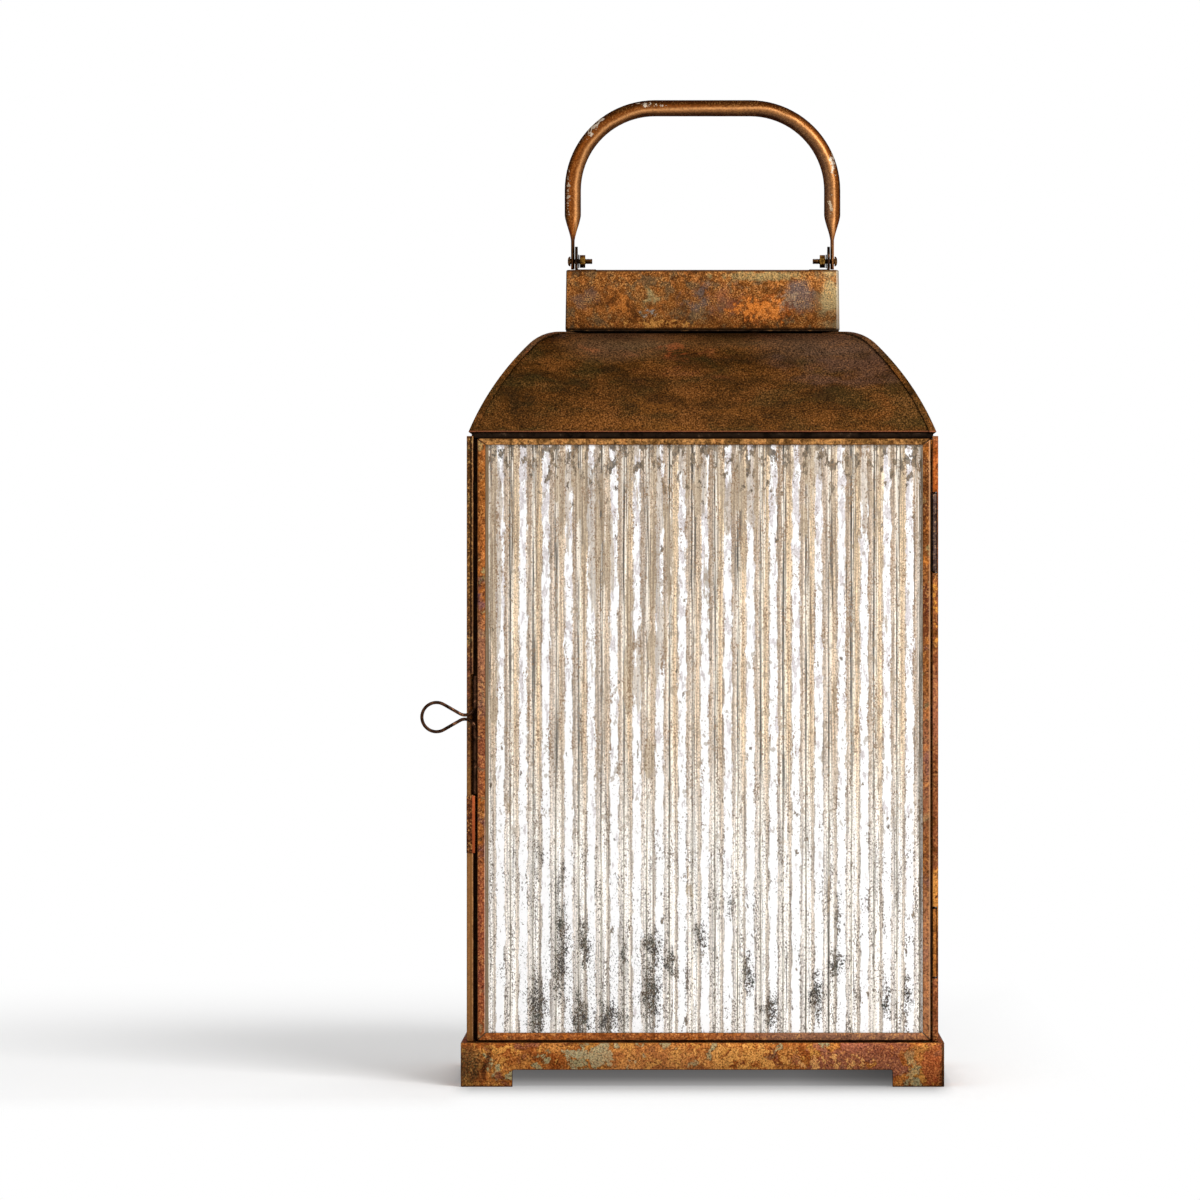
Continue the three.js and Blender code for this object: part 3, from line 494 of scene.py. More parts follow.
@dataclass(frozen=True)
class Patina:
    """Antiqued sheet steel: etched and heated to brown and orange stains, then lacquered.

    The stains are a few millimetres to a few centimetres wide, over a fine etched grain.
    """

    name: str
    ground: tuple[str, ...]
    patch: float = 16.0  # mm
    stains: tuple[Stain, ...] = ()
    marks: tuple[Mark, ...] = ()
    bands: tuple[Band, ...] = ()
    speck: str = "#d09a58"
    speck_strength: float = 0.5
    pit_strength: float = 0.5
    contour: float = 0.0  # strength of thin etched lines that run round the clouds
    contour_shade: str = "#6a3412"
    axis: int = 0
    seed: float = 0.0
    stretch: Triple = (1.0, 1.0, 1.0)
    roughness: float = 0.5
    grain: float = 0.95  # mm
    contrast: float = 0.5
    bump: float = 0.3

    def material(self) -> Material:
        """Builds the node material."""
        sheet = Sheet(self)
        tree, cloud = sheet.tree, sheet.cloud
        shade = self.grounded(sheet)
        for order, stain in enumerate(self.stains):
            shade = self.stained(sheet, shade, stain, order)
        frayed = tree.add("VectorMath", (sheet.swing, (0.009,) * 3, sheet.place), operation="MULTIPLY_ADD")
        for mark in self.marks:
            shade = tree.add("Mix", (mark.mask(tree, frayed, self.axis), shade, mark.shade), data_type="RGBA")
        if self.contour:
            folded = tree.add("Math", (cloud, 0.03), operation="PINGPONG")
            line = tree.add("MapRange", (folded, 0.011, 0.003, 0.0, self.contour))
            shade = tree.add("Mix", (line, shade, self.contour_shade), data_type="RGBA")
        shade = self.banded(sheet, self.grained(sheet, shade))
        rough = tree.add("MapRange", (cloud, 0.35, 0.65, self.roughness - 0.08, self.roughness + 0.1))
        height = tree.add("Math", (sheet.fine, 0.5, cloud), operation="MULTIPLY_ADD")
        relief = tree.add("Bump", {"Height": height, "Strength": self.bump, "Distance": 0.3 * MM})
        look = {"Base Color": shade, "Roughness": rough, "Normal": relief}
        tree.add("OutputMaterial", (tree.add("BsdfPrincipled", look | BROWNED),))
        return tree.owner

    def grounded(self, sheet: Sheet) -> Socket:
        """The ground's colour, which drifts through its shades."""
        last = len(self.ground) - 1
        stops = tuple((0.38 + 0.24 * i / last, shade) for i, shade in enumerate(self.ground))
        return sheet.tree.add("ValToRGB", (sheet.cloud,), stops=stops)

    def stained(self, sheet: Sheet, shade: Socket, stain: Stain, order: int) -> Socket:
        """Lays one stain's islands and their rims over a shade.

        Args:
            sheet: Position and noise.
            shade: Colour so far.
            stain: The stain.
            order: Its place in the list, which sets its pattern.

        Returns:
            The new colour.
        """
        tree, crisp = sheet.tree, stain.crisp
        spot = tree.add("Mapping", (sheet.warped, (1.7 + order, 3.1 * order, 0.9)))
        level = tree.add("TexNoise", (spot, 1 / (stain.size * MM), 6.0, 0.58))
        limit = 1.0
        if stain.near:
            region = stain.near.mask(tree, sheet.place, self.axis, 0.9)
            level = tree.add("Math", (region, 0.25, level), operation="MULTIPLY_ADD")
            level = tree.add("Math", (level, 0.25), operation="SUBTRACT")
            limit = tree.add("MapRange", (region, 0.0, 0.35))
        inside = tree.add("MapRange", (level, stain.level - crisp, stain.level + crisp, 0.0, stain.strength))
        off = tree.add("Math", (level, stain.level - crisp), operation="SUBTRACT")
        far = tree.add("Math", (off,), operation="ABSOLUTE")
        strength = stain.rim_strength * stain.strength
        rim = tree.add("MapRange", (far, 2.2 * crisp, 0.4 * crisp, 0.0, strength))
        for share, hue in ((inside, stain.shade), (rim, stain.rim)):
            kept = tree.add("Math", (share, limit), operation="MULTIPLY")
            shade = tree.add("Mix", (kept, shade, hue), data_type="RGBA")
        return shade

    def grained(self, sheet: Sheet, shade: Socket) -> Socket:
        """Lightens and darkens with the etched grain, and adds its dark pits and bright specks.

        Args:
            sheet: Position and noise.
            shade: Colour so far.

        Returns:
            The new colour.
        """
        tree, fine = sheet.tree, sheet.fine
        level = tree.add("MapRange", (fine, 0.36, 0.64, 1 - self.contrast, 1 + self.contrast))
        shade = tree.add("VectorMath", (shade, level), operation="SCALE")
        pit = tree.add("MapRange", (fine, 0.44, 0.36, 0.0, self.pit_strength))
        shade = tree.add("Mix", (pit, shade, "#1c1008"), data_type="RGBA")
        lifted = tree.add("Math", (sheet.cloud, 0.4, fine), operation="MULTIPLY_ADD")
        speck = tree.add("MapRange", (lifted, 0.76, 0.84, 0.0, self.speck_strength))
        return tree.add("Mix", (speck, shade, self.speck), data_type="RGBA")

    def banded(self, sheet: Sheet, shade: Socket) -> Socket:
        """Lays the bands over a shade, their edges roughened by the grain.

        Args:
            sheet: Position and noise.
            shade: Colour so far.

        Returns:
            The new colour.
        """
        tree = sheet.tree
        for band in self.bands:
            low, high, fade = band.low * MM, band.high * MM, band.fade * MM
            line = tree.add("SeparateXYZ", (sheet.place,), band.axis)
            rough = tree.add("Math", (sheet.fine, 2 * fade, line), operation="MULTIPLY_ADD")
            rise = tree.add("MapRange", (rough, low, low + fade, 0.0, band.strength))
            fall = tree.add("MapRange", (rough, high + 2 * fade, high + fade))
            mask = tree.add("Math", (rise, fall), operation="MULTIPLY")
            if band.top is not None:
                up = tree.add("SeparateXYZ", (sheet.place,), "Z")
                span = ((band.top + band.runout) * MM, (band.top - band.runout) * MM)
                mask = tree.add("Math", (mask, tree.add("MapRange", (up, *span))), operation="MULTIPLY")
            shade = tree.add("Mix", (mask, shade, band.shade), data_type="RGBA")
        return shade


@dataclass(frozen=True)
class TubeWithPaintedHighlight(Patina):
    """Browned tube with a painted highlight streak, from the inside of one leg to the outside of the other, and
    painted shade over the outer half of its top.
    """

    straight: float = 26.36  # mm, half the straight run of the top
    spring: float = 465.0  # mm, height where the bends start
    corner: float = 45.5
    radius: float = 4.5
    half: float = 71.86  # mm, from the middle to a leg's middle line
    # Painted light across the tube, from its inner side to its outer: darker edges and a highlight streak
    painted_light_inner_to_outer: Stops = (
        (0.0, "#4e3222"), (0.05, "#6a4830"), (0.1, "#704a2c"), (0.15, "#8c5c36"), (0.21, "#a06c40"),
        (0.28, "#cc905a"), (0.33, "#c48852"), (0.4, "#8c562c"), (0.47, "#743f18"), (0.68, "#6e3810"),
        (0.8, "#542a0a"), (0.9, "#40240e"), (1.0, "#2a1a10"),
    )

    def grounded(self, sheet: Sheet) -> Socket:
        """The tube's painted light and shade by the distance from its own middle line, warped a little.

        Args:
            sheet: Position and noise.

        Returns:
            The colour.
        """
        tree = sheet.tree
        line, up = (tree.add("SeparateXYZ", (sheet.place,), axis) for axis in ("X", "Z"))
        side = tree.add("Math", (line,), operation="ABSOLUTE")
        parts = []
        for value, start in ((side, self.straight), (up, self.spring)):
            past = tree.add("Math", (value, start * MM), operation="SUBTRACT")
            parts.append(tree.add("Math", (past, 0.0), operation="MAXIMUM"))
        reach = tree.add("VectorMath", (tree.add("CombineXYZ", tuple(parts)),), operation="LENGTH")
        wobble = tree.add("Math", (sheet.cloud, 2.4 * MM, reach), operation="MULTIPLY_ADD")
        middle = (self.corner + 1.2) * MM
        across = tree.add("MapRange", (wobble, middle - self.radius * MM, middle + self.radius * MM))
        # The painted highlight slides from the inside of the left leg to the outside of the right
        share = tree.add("MapRange", (line, -self.half * MM, self.half * MM))
        share = tree.add("Math", (share, 2.0), operation="POWER")
        bend = tree.add("Math", (share, 1.7, 1.0), operation="MULTIPLY_ADD")
        moved = tree.add("Math", (across, bend), operation="POWER")
        shade = tree.add("ValToRGB", (moved,), stops=self.painted_light_inner_to_outer)
        # Painted shade over the outer half of the top run
        above = tree.add("MapRange", (up, 0.492, 0.51, 0.0, 0.85))
        outer = tree.add("MapRange", (across, 0.5, 0.72))
        mask = tree.add("Math", (above, outer), operation="MULTIPLY")
        return tree.add("Mix", (mask, shade, "#341804"), data_type="RGBA")


class Reeds:
    """Position on one pane's ribs, and fine streaks and grain, which all its layers read."""

    def __init__(self, glass: "MercuryGlass") -> None:
        """Lays out the ribs.

        Args:
            glass: The finish that they are for.
        """
        self.tree = tree = Tree(bpy.data.materials.new(glass.name))
        self.place = tree.add("TexCoord", out="Object")
        self.seeded = tree.add("Mapping", (self.place, (glass.seed,) * 3))
        self.along = tree.add("SeparateXYZ", (self.place,), glass.axis)
        self.up = tree.add("SeparateXYZ", (self.place,), "Z")
        sign = -1 if glass.turned else 1
        count = (self.along, sign / (glass.pitch * MM), 20 - sign * glass.crown / glass.pitch)
        turns = tree.add("Math", count, operation="MULTIPLY_ADD")
        sway = self.flecks((2.2, 2.2, 34.0), 2.0, 0.5)
        turns = tree.add("Math", (sway, 0.05, turns), operation="MULTIPLY_ADD")
        # Place across a rib, from one crown to the next, and a chance value of each valley's own
        self.phase = tree.add("Math", (turns,), operation="FRACT")
        self.own = tree.add("TexWhiteNoise", (tree.add("Math", (turns,), operation="FLOOR"),), noise_dimensions="1D")
        # Distance from the valley, where 0.5 is the crown
        edge = tree.add("Math", (self.phase, 0.5), operation="SUBTRACT")
        self.edge = tree.add("Math", (edge,), operation="ABSOLUTE")
        self.lines = self.flecks((1.1, 1.1, 70.0), 3.0, 0.8)
        self.grit = self.flecks((0.75, 0.75, 1.0), 3.0, 0.75)

    def flecks(self, size: Triple, detail: float, rough: float) -> Socket:
        """A field of flecks of the pane's own.

        Args:
            size: Size of a fleck in millimetres along each axis.
            detail: Number of finer layers.
            rough: Strength of the finer layers.

        Returns:
            The field, mostly between 0.3 and 0.7.
        """
        spread = {"Vector": self.seeded, "Scale": tuple(1000 / side for side in size)}
        return self.tree.add("TexNoise", (self.tree.add("Mapping", spread), 1.0, detail, rough))


@dataclass(frozen=True)
class MercuryGlass:
    """Reeded glass silvered on the inside, its silver mottled, run and eaten away.

    Each rib shows a white crown, a taupe flank to its right, a dark line in the valley and a tan
    flank beyond it, painted by the place across the rib: the white crown is a painted reflection,
    the dark valley line is painted shade, and the taupe and tan are partly the silver's own tint and
    partly painted reflection. Towards the bottom the flanks pale to cream.
    """

    name: str
    axis: int
    crown: float  # mm, a crown's line along the axis
    smears: tuple[Mark, ...]
    veils: tuple[Mark, ...]
    pitch: float = 12.3  # mm
    turned: bool = False  # ribs run the other way along the axis
    brighter: float = 1.0  # how much brighter the colour is at the far end of the axis
    seed: float = 0.0
    edges: tuple[Triple, ...] = ()  # painted shade strips beside the channels: from, to in mm and their strength
    # Colours across a rib at three heights: the dark stops near 0.43 are the valley's painted shade and the pale ends
    # lead into the crowns' painted reflection
    upper_flanks: Stops = (
        (0.1, "#d2c8c0"), (0.165, "#b5a594"), (0.215, "#a08c78"), (0.29, "#9c8976"), (0.335, "#a89682"),
        (0.37, "#c4b6a6"), (0.4, "#b0a090"), (0.42, "#403f39"), (0.452, "#42403a"), (0.47, "#a89a88"),
        (0.488, "#dcd0be"), (0.512, "#ddd1bf"), (0.532, "#8c7a64"), (0.565, "#a08c74"), (0.64, "#b8a182"),
        (0.73, "#b29a7c"), (0.775, "#ceb696"), (0.84, "#ccb8a0"), (0.88, "#c8beb4"),
    )
    middle_flanks: Stops = (
        (0.12, "#e2ddd8"), (0.165, "#c0b3a6"), (0.205, "#a59482"), (0.28, "#ae9d8b"), (0.335, "#c2b3a3"),
        (0.375, "#e4d8ca"), (0.4, "#b4a898"), (0.42, "#62625c"), (0.445, "#6c6a62"), (0.47, "#9e9488"),
        (0.505, "#dcd2c0"), (0.575, "#dccab0"), (0.63, "#c4a888"), (0.72, "#ccb496"), (0.775, "#c2af98"),
        (0.815, "#a6988a"), (0.87, "#cac2ba"),
    )
    lower_flanks: Stops = (
        (0.13, "#eae7e3"), (0.175, "#cec5bc"), (0.225, "#c2b8ae"), (0.3, "#d4ccc4"), (0.37, "#e2dad2"),
        (0.4, "#cec8be"), (0.418, "#847e70"), (0.436, "#8c8678"), (0.47, "#d0c9c0"), (0.52, "#eee9e3"),
        (0.62, "#f2ede7"), (0.672, "#ddd4c8"), (0.72, "#b6a99b"), (0.79, "#b4a89c"), (0.835, "#b8afa5"),
        (0.88, "#dcd8d4"),
    )

    def material(self) -> Material:
        """Builds the node material."""
        reeds = Reeds(self)
        tree = reeds.tree
        veil = self.veil(reeds)
        crowns = self.crowns(reeds, veil)
        shade = self.threaded(reeds, self.flanks(reeds))
        shade = self.silvered(reeds, shade, veil, crowns)
        shade = self.speckled(reeds, shade, crowns)
        shade = self.smeared(reeds, shade, crowns)
        # Painted shade on the pane along its edges, beside the channels
        for start, end, strength in self.edges:
            strip = tree.add("MapRange", (reeds.along, end * MM, start * MM, 0.0, strength))
            shade = tree.add("Mix", (strip, shade, "#705834"), data_type="RGBA")
        level = tree.add("MapRange", (reeds.along, -0.08, 0.1, 1.0, self.brighter))
        shade = tree.add("VectorMath", (shade, level), operation="SCALE")
        relief = tree.add("Bump", {"Height": reeds.lines, "Strength": 0.15, "Distance": 0.4 * MM})
        look = {"Base Color": shade, "Metallic": 0.25, "Roughness": 0.32, "Normal": relief}
        look |= {"Coat Weight": 0.4, "Coat Roughness": 0.1}
        tree.add("OutputMaterial", (tree.add("BsdfPrincipled", look),))
        return tree.owner

    def covered(self, tree: Tree, where: Socket, marks: tuple[Mark, ...], soft: float) -> Socket:
        """Mask of several marks.

        Args:
            tree: The material.
            where: Position.
            marks: The marks.
            soft: Share of each that fades.

        Returns:
            The mask, which is the strongest mark's at each place.
        """
        total = 0.0
        for mark in marks:
            total = tree.add("Math", (total, mark.mask(tree, where, self.axis, soft)), operation="MAXIMUM")
        return total

    def flanks(self, reeds: Reeds) -> Socket:
        """Colour between the crowns: taupe high up, tan in the middle and cream low down, with the valley's painted
        shade and the painted reflections across each rib.

        Args:
            reeds: Position and fine grain.

        Returns:
            The colour.
        """
        tree = reeds.tree
        high, middle, low = (
            tree.add("ValToRGB", (reeds.phase,), stops=stops)
            for stops in (self.upper_flanks, self.middle_flanks, self.lower_flanks)
        )
        shade = high
        for share, hue in (
            ((reeds.up, 0.27, 0.235), middle),
            ((reeds.own, 0.3, 1.0, 0.0, 0.5), "#b0a192"),
            ((reeds.up, 0.165, 0.1), low),
        ):
            shade = tree.add("Mix", (tree.add("MapRange", share), shade, hue), data_type="RGBA")
        for grain in (reeds.lines, reeds.grit):
            level = tree.add("MapRange", (grain, 0.34, 0.66, 0.5, 1.56))
            shade = tree.add("VectorMath", (shade, level), operation="SCALE")
        return shade

    def threaded(self, reeds: Reeds, shade: Socket) -> Socket:
        """Draws thin bright and dark lines down beside the valleys, most of them high up.

        Args:
            reeds: Position and fine grain.
            shade: Colour of the flanks.

        Returns:
            The new colour.
        """
        tree = reeds.tree
        off = tree.add("Math", (reeds.phase, 0.48), operation="SUBTRACT")
        off = tree.add("Math", (off,), operation="ABSOLUTE")
        near = tree.add("MapRange", (off, 0.18, 0.07, 0.0, 0.12))
        height = tree.add("MapRange", (reeds.up, 0.14, 0.31, -0.075, 0.005))
        near = tree.add("Math", (near, height), operation="ADD")
        threads = reeds.flecks((0.7, 0.7, 60.0), 2.0, 0.7)
        for operation, start, end, hue in (("SUBTRACT", 0.36, 0.32, "#efe6d8"), ("ADD", 0.63, 0.67, "#302a20")):
            level = tree.add("Math", (threads, near), operation=operation)
            line = tree.add("MapRange", (level, start, end, 0.0, 0.85))
            shade = tree.add("Mix", (line, shade, hue), data_type="RGBA")
        return shade

    def veil(self, reeds: Reeds) -> Socket:
        """Mask of the taupe veils, which run down round-ended where the silver is thin.

        Args:
            reeds: Position and fine grain.

        Returns:
            The mask.
        """
        tree = reeds.tree
        runs = reeds.flecks((7.0, 7.0, 52.0), 2.0, 0.5)
        frayed = reeds.flecks((2.4, 2.4, 5.0), 4.0, 0.65)
        here = self.covered(tree, reeds.place, self.veils, 0.9)
        for value, share in ((frayed, 0.22), (reeds.own, 0.07), (here, 0.2)):
            runs = tree.add("Math", (value, share, runs), operation="MULTIPLY_ADD")
        height = tree.add("MapRange", (reeds.up, 0.12, 0.33, -0.12, 0.02))
        runs = tree.add("Math", (runs, height), operation="ADD")
        return tree.add("MapRange", (runs, 0.755, 0.775))

    def crowns(self, reeds: Reeds, veil: Socket) -> Socket:
        """Mask of the white crowns, which are a painted reflection, with run edges, wider towards the bottom, thinned
        by the veils.

        Args:
            reeds: Position and fine grain.
            veil: Mask of the veils.

        Returns:
            The mask.
        """
        tree, near = reeds.tree, reeds.edge
        run = reeds.flecks((2.2, 2.2, 13.0), 3.0, 0.6)
        ragged = reeds.flecks((1.0, 1.0, 1.8), 3.0, 0.65)
        for value, share in ((run, 0.42), (ragged, 0.16)):
            near = tree.add("Math", (value, share, near), operation="MULTIPLY_ADD")
        height = tree.add("MapRange", (reeds.up, 0.08, 0.32, 0.015, -0.015))
        near = tree.add("Math", (near, height), operation="ADD")
        white = tree.add("MapRange", (near, 0.617, 0.637))
        veiled = tree.add("Math", (white, veil), operation="MULTIPLY")
        return tree.add("Math", (veiled, -0.7, white), operation="MULTIPLY_ADD")

    def silvered(self, reeds: Reeds, shade: Socket, veil: Socket, crowns: Socket) -> Socket:
        """Lays the veils and the crowns' white, which is a painted reflection, with lilac-grey patches in it.

        Args:
            reeds: Position and fine grain.
            shade: Colour of the flanks.
            veil: Mask of the veils.
            crowns: Mask of the crowns.

        Returns:
            The new colour.
        """
        tree = reeds.tree
        streak = tree.add("Math", (reeds.grit, 0.5, reeds.lines), operation="MULTIPLY_ADD")
        taupe = tree.add("ValToRGB", (streak,), stops=((0.62, "#7d6b54"), (0.75, "#a08c72"), (0.88, "#c4b196")))
        thin = tree.add("Math", (veil, 0.82), operation="MULTIPLY")
        shade = tree.add("Mix", (thin, shade, taupe), data_type="RGBA")
        patches = reeds.flecks((3.2, 3.2, 10.0), 5.0, 0.64)
        for span in ((0.04, 0.33, -0.1, 0.06), (0.27, 0.32, 0.0, 0.03)):
            patches = tree.add("Math", (patches, tree.add("MapRange", (reeds.up, *span))), operation="ADD")
        lilac = tree.add("MapRange", (patches, 0.545, 0.565, 0.0, 0.8))
        grey = tree.add("ValToRGB", (reeds.grit,), stops=((0.4, "#a89d9c"), (0.6, "#d8d0d2")))
        # The crowns' painted reflection: near-white, broken by lilac-grey patches
        silver = tree.add("Mix", (lilac, "#efeeee", grey), data_type="RGBA")
        return tree.add("Mix", (crowns, shade, silver), data_type="RGBA")

    def speckled(self, reeds: Reeds, shade: Socket, crowns: Socket) -> Socket:
        """Scatters taupe blotches near the top, small spots below, and brown dots in upright runs by the crowns.

        Args:
            reeds: Position and fine grain.
            shade: Colour so far.
            crowns: Mask of the crowns.

        Returns:
            The new colour.
        """
        tree, up = reeds.tree, reeds.up
        clumps = reeds.flecks((3.4, 3.4, 7.0), 6.0, 0.64)
        top = tree.add("MapRange", (up, 0.285, 0.322, 0.0, 0.15))
        clumps = tree.add("Math", (clumps, top), operation="ADD")
        blotch = tree.add("MapRange", (clumps, 0.65, 0.662, 0.0, 0.92))
        mist = reeds.flecks((1.2, 1.2, 2.0), 4.0, 0.7)
        taupe = tree.add("ValToRGB", (mist,), stops=((0.42, "#3a2c18"), (0.58, "#7e6c54")))
        shade = tree.add("Mix", (blotch, shade, taupe), data_type="RGBA")

        spots = reeds.flecks((3.0, 3.0, 4.4), 2.0, 0.5)
        for value, share in ((mist, 0.14), (crowns, -0.035)):
            spots = tree.add("Math", (value, share, spots), operation="MULTIPLY_ADD")
        worn = tree.add("MapRange", (spots, 0.7, 0.715, 0.0, 0.6))
        worn = tree.add("Math", (worn, tree.add("MapRange", (up, 0.07, 0.12))), operation="MULTIPLY")
        shade = tree.add("Mix", (worn, shade, "#8d7b65"), data_type="RGBA")

        dots = reeds.flecks((0.8, 0.8, 1.15), 2.0, 0.6)
        groups = reeds.flecks((3.4, 3.4, 22.0), 3.0, 0.6)
        for value, share in ((groups, 0.62), (crowns, -0.085)):
            dots = tree.add("Math", (value, share, dots), operation="MULTIPLY_ADD")
        off = tree.add("Math", (reeds.edge, 0.345), operation="SUBTRACT")
        off = tree.add("Math", (off,), operation="ABSOLUTE")
        for more in ((off, 0.07, 0.02, 0.0, 0.035), (up, 0.0, 0.12, 0.02, 0.0)):
            dots = tree.add("Math", (dots, tree.add("MapRange", more)), operation="ADD")
        dotted = tree.add("MapRange", (dots, 0.905, 0.94, 0.0, 0.85))
        height = tree.add("MapRange", (up, 0.09, 0.17))
        brown = tree.add("Mix", (height, "#4c3c2c", "#7f6040"), data_type="RGBA")
        return tree.add("Mix", (dotted, shade, brown), data_type="RGBA")

    def smeared(self, reeds: Reeds, shade: Socket, crowns: Socket) -> Socket:
        """Adds the dark gritty smears where the silver has gone.

        Args:
            reeds: Position and fine grain.
            shade: Colour so far.
            crowns: Mask of the crowns.

        Returns:
            The new colour.
        """
        tree = reeds.tree
        drift = tree.add("TexNoise", (reeds.seeded, 170.0, 5.0, 0.72), "Color")
        swing = tree.add("VectorMath", (drift, (0.5, 0.5, 0.5)), operation="SUBTRACT")
        frayed = tree.add("VectorMath", (swing, (0.016, 0.016, 0.04), reeds.place), operation="MULTIPLY_ADD")
        total = self.covered(tree, frayed, self.smears, 0.97)
        haze = tree.add("MapRange", (total, 0.3, 1.0, 0.0, 0.3))
        shade = tree.add("Mix", (haze, shade, "#7a7460"), data_type="RGBA")
        gritty = tree.add("Math", (total, 0.16, reeds.grit), operation="MULTIPLY_ADD")
        mask = tree.add("MapRange", (gritty, 0.585, 0.615))
        mask = tree.add("Math", (mask, tree.add("MapRange", (total, 0.01, 0.08))), operation="MULTIPLY")
        hue = reeds.flecks((3.2, 3.2, 6.0), 2.0, 0.5)
        dark = tree.add("ValToRGB", (hue,), stops=((0.42, "#21160a"), (0.5, "#4a351b"), (0.58, "#262414")))
        silvery = tree.add("Math", (crowns, 0.12), operation="MULTIPLY")
        dark = tree.add("Mix", (silvery, dark, "#4a4854"), data_type="RGBA")
        return tree.add("Mix", (mask, shade, dark), data_type="RGBA")


@dataclass(frozen=True)
class WornMetal:
    """A small metal piece of one shade, with darker grime and brighter rubbed spots."""

    name: str
    shade: str
    grime: str
    rubbed: str
    size: float = 3.0  # mm, usual size of a spot
    roughness: float = 0.4
    rub: float = 0.56  # noise level above which the metal is rubbed

    def material(self) -> Material:
        """Builds the node material."""
        tree = Tree(bpy.data.materials.new(self.name))
        place = tree.add("TexCoord", out="Object")
        spots = tree.add("TexNoise", (place, 1 / (self.size * MM), 6.0, 0.7))
        fine = tree.add("TexNoise", (place, 1400.0, 3.0, 0.7))
        stops = ((0.4, self.grime), (0.49, self.shade), (self.rub, self.shade), (self.rub + 0.06, self.rubbed))
        shade = tree.add("ValToRGB", (spots,), stops=stops)
        speck = tree.add("MapRange", (fine, 0.46, 0.36, 0.0, 0.6))
        shade = tree.add("Mix", (speck, shade, self.grime), data_type="RGBA")
        rough = tree.add("MapRange", (spots, 0.6, 0.4, self.roughness - 0.06, self.roughness + 0.12))
        relief = tree.add("Bump", {"Height": fine, "Strength": 0.2, "Distance": 0.1 * MM})
        look = {"Base Color": shade, "Roughness": rough, "Normal": relief}
        tree.add("OutputMaterial", (tree.add("BsdfPrincipled", look | BROWNED),))
        return tree.owner


# Sub-assemblies


@dataclass
class Plinth:
    """Base of four sheet sides with arches, whose top folds in to a ledge round the floor."""

    finishes: dict[str, Material]
    rounding: float = 0.35

    def build(self) -> None:
        """Builds and dresses the four sides."""
        for side in ("front", "back", "left", "right"):
            faces = self.finishes["base_front" if side == "front" else "base_side"]
            softened(f"plinth_{side}", "lantern_body", faces, self.finishes["edge"], self.rounding)


@dataclass
class Carcass:
    """Candle floor, corner posts and eave ring, which hold the frames."""

    finishes: dict[str, Material]
    rounding: float = 0.3

    def build(self) -> None:
        """Builds and dresses the floor, the posts and the ring."""
        body, edge = "lantern_body", self.finishes["edge"]
        softened("floor_plate", body, self.finishes["floor"], self.finishes["floor"], 0.25)
        for node in ("left_front_post", "right_front_post", "left_back_post", "right_back_post"):
            faces = self.finishes.get(node, self.finishes["post"])
            softened(node, body, faces, edge, self.rounding)
        softened("eave_ring", body, self.finishes["ring"], self.finishes["ring"], self.rounding)


@dataclass
class GlazedFrame:
    """Four channels round a ribbed pane. Sizes in millimetres, seen from outside the lantern."""

    name: str
    facing: Facing
    reach: float  # lantern's middle to the crowns
    left: float
    right: float
    crown: float  # a crown's line
    metals: tuple[Material, ...]  # left, right, bottom, top
    edge: Material
    glass: Material
    body: str = "lantern_body"
    slot: str = "frame_metal"
    low: float = 0.2
    high: float = 324.2
    rounding: float = 0.22
    pitch: float = 12.3
    rise: float = 1.4  # valleys to crowns
    thick: float = 4.0  # crowns to the flat side
    radius: float = 14.2  # of a rib
    steps: int = 14

    def build(self) -> None:
        """Builds and dresses the channels and the pane."""
        for side, metal in zip(("left", "right", "bottom", "top"), self.metals):
            softened(f"{self.name}_{side}", self.body, metal, self.edge, self.rounding)
        self.build_pane()

    def build_pane(self) -> None:
        """Spins one rib, repeats it across the pane, trims it and draws it back to its flat side."""
        half_turn = math.degrees(math.asin(self.pitch / 2 / self.radius))
        ribs = math.ceil((self.right - self.left) / self.pitch) + 2
        first = self.crown + self.pitch * math.floor((self.left - self.crown) / self.pitch)
        valley = (first - self.pitch / 2) * MM
        base = -(self.reach - self.rise) * MM
        rib = thread_line(Vector((valley, base, self.low * MM)), Vector((valley, base, self.high * MM)))
        with editing(rib, whole=True):
            centre = Vector((first * MM, (self.radius - self.reach) * MM, 0))
            spin(centre, (0, 0, 1), 2 * half_turn, self.steps)
        modify(
            rib,
            "ARRAY",
            count=ribs,
            use_relative_offset=False,
            use_constant_offset=True,
            constant_offset_displace=(self.pitch * MM, 0, 0),
            use_merge_vertices=True,
            merge_threshold=SEAM,
        )
        for end, way in ((self.right, 1), (self.left, -1)):
            slice_off(rib, Vector((end * MM, 0, 0)), Vector((way, 0, 0)))
        back = Vector((0, (self.thick - self.reach) * MM, 0))
        with editing(rib, whole=True):
            extrude((0, 0.01, 0))
            resize((1, 0, 1), back)
        tidy(rib)
        settle(rib, self.facing.turn())
        dress(rib, f"{self.name}_glass", self.body, (f"{self.name}_pane",), (self.glass,), 28)


@dataclass
class Hinge:
    """Small butt hinge: a leaf on the door, a leaf on the post, and the pin through both."""

    name: str
    leaf: Material
    pin: Material
    rounding: float = 0.14

    def build(self) -> None:
        """Builds and dresses both leaves and the pin."""
        for part, body, metal in (
            ("door_leaf", "door", self.leaf),
            ("post_leaf", "lantern_body", self.leaf),
            ("pin", "lantern_body", self.pin),
        ):
            softened(f"{self.name}_hinge_{part}", body, metal, metal, self.rounding)


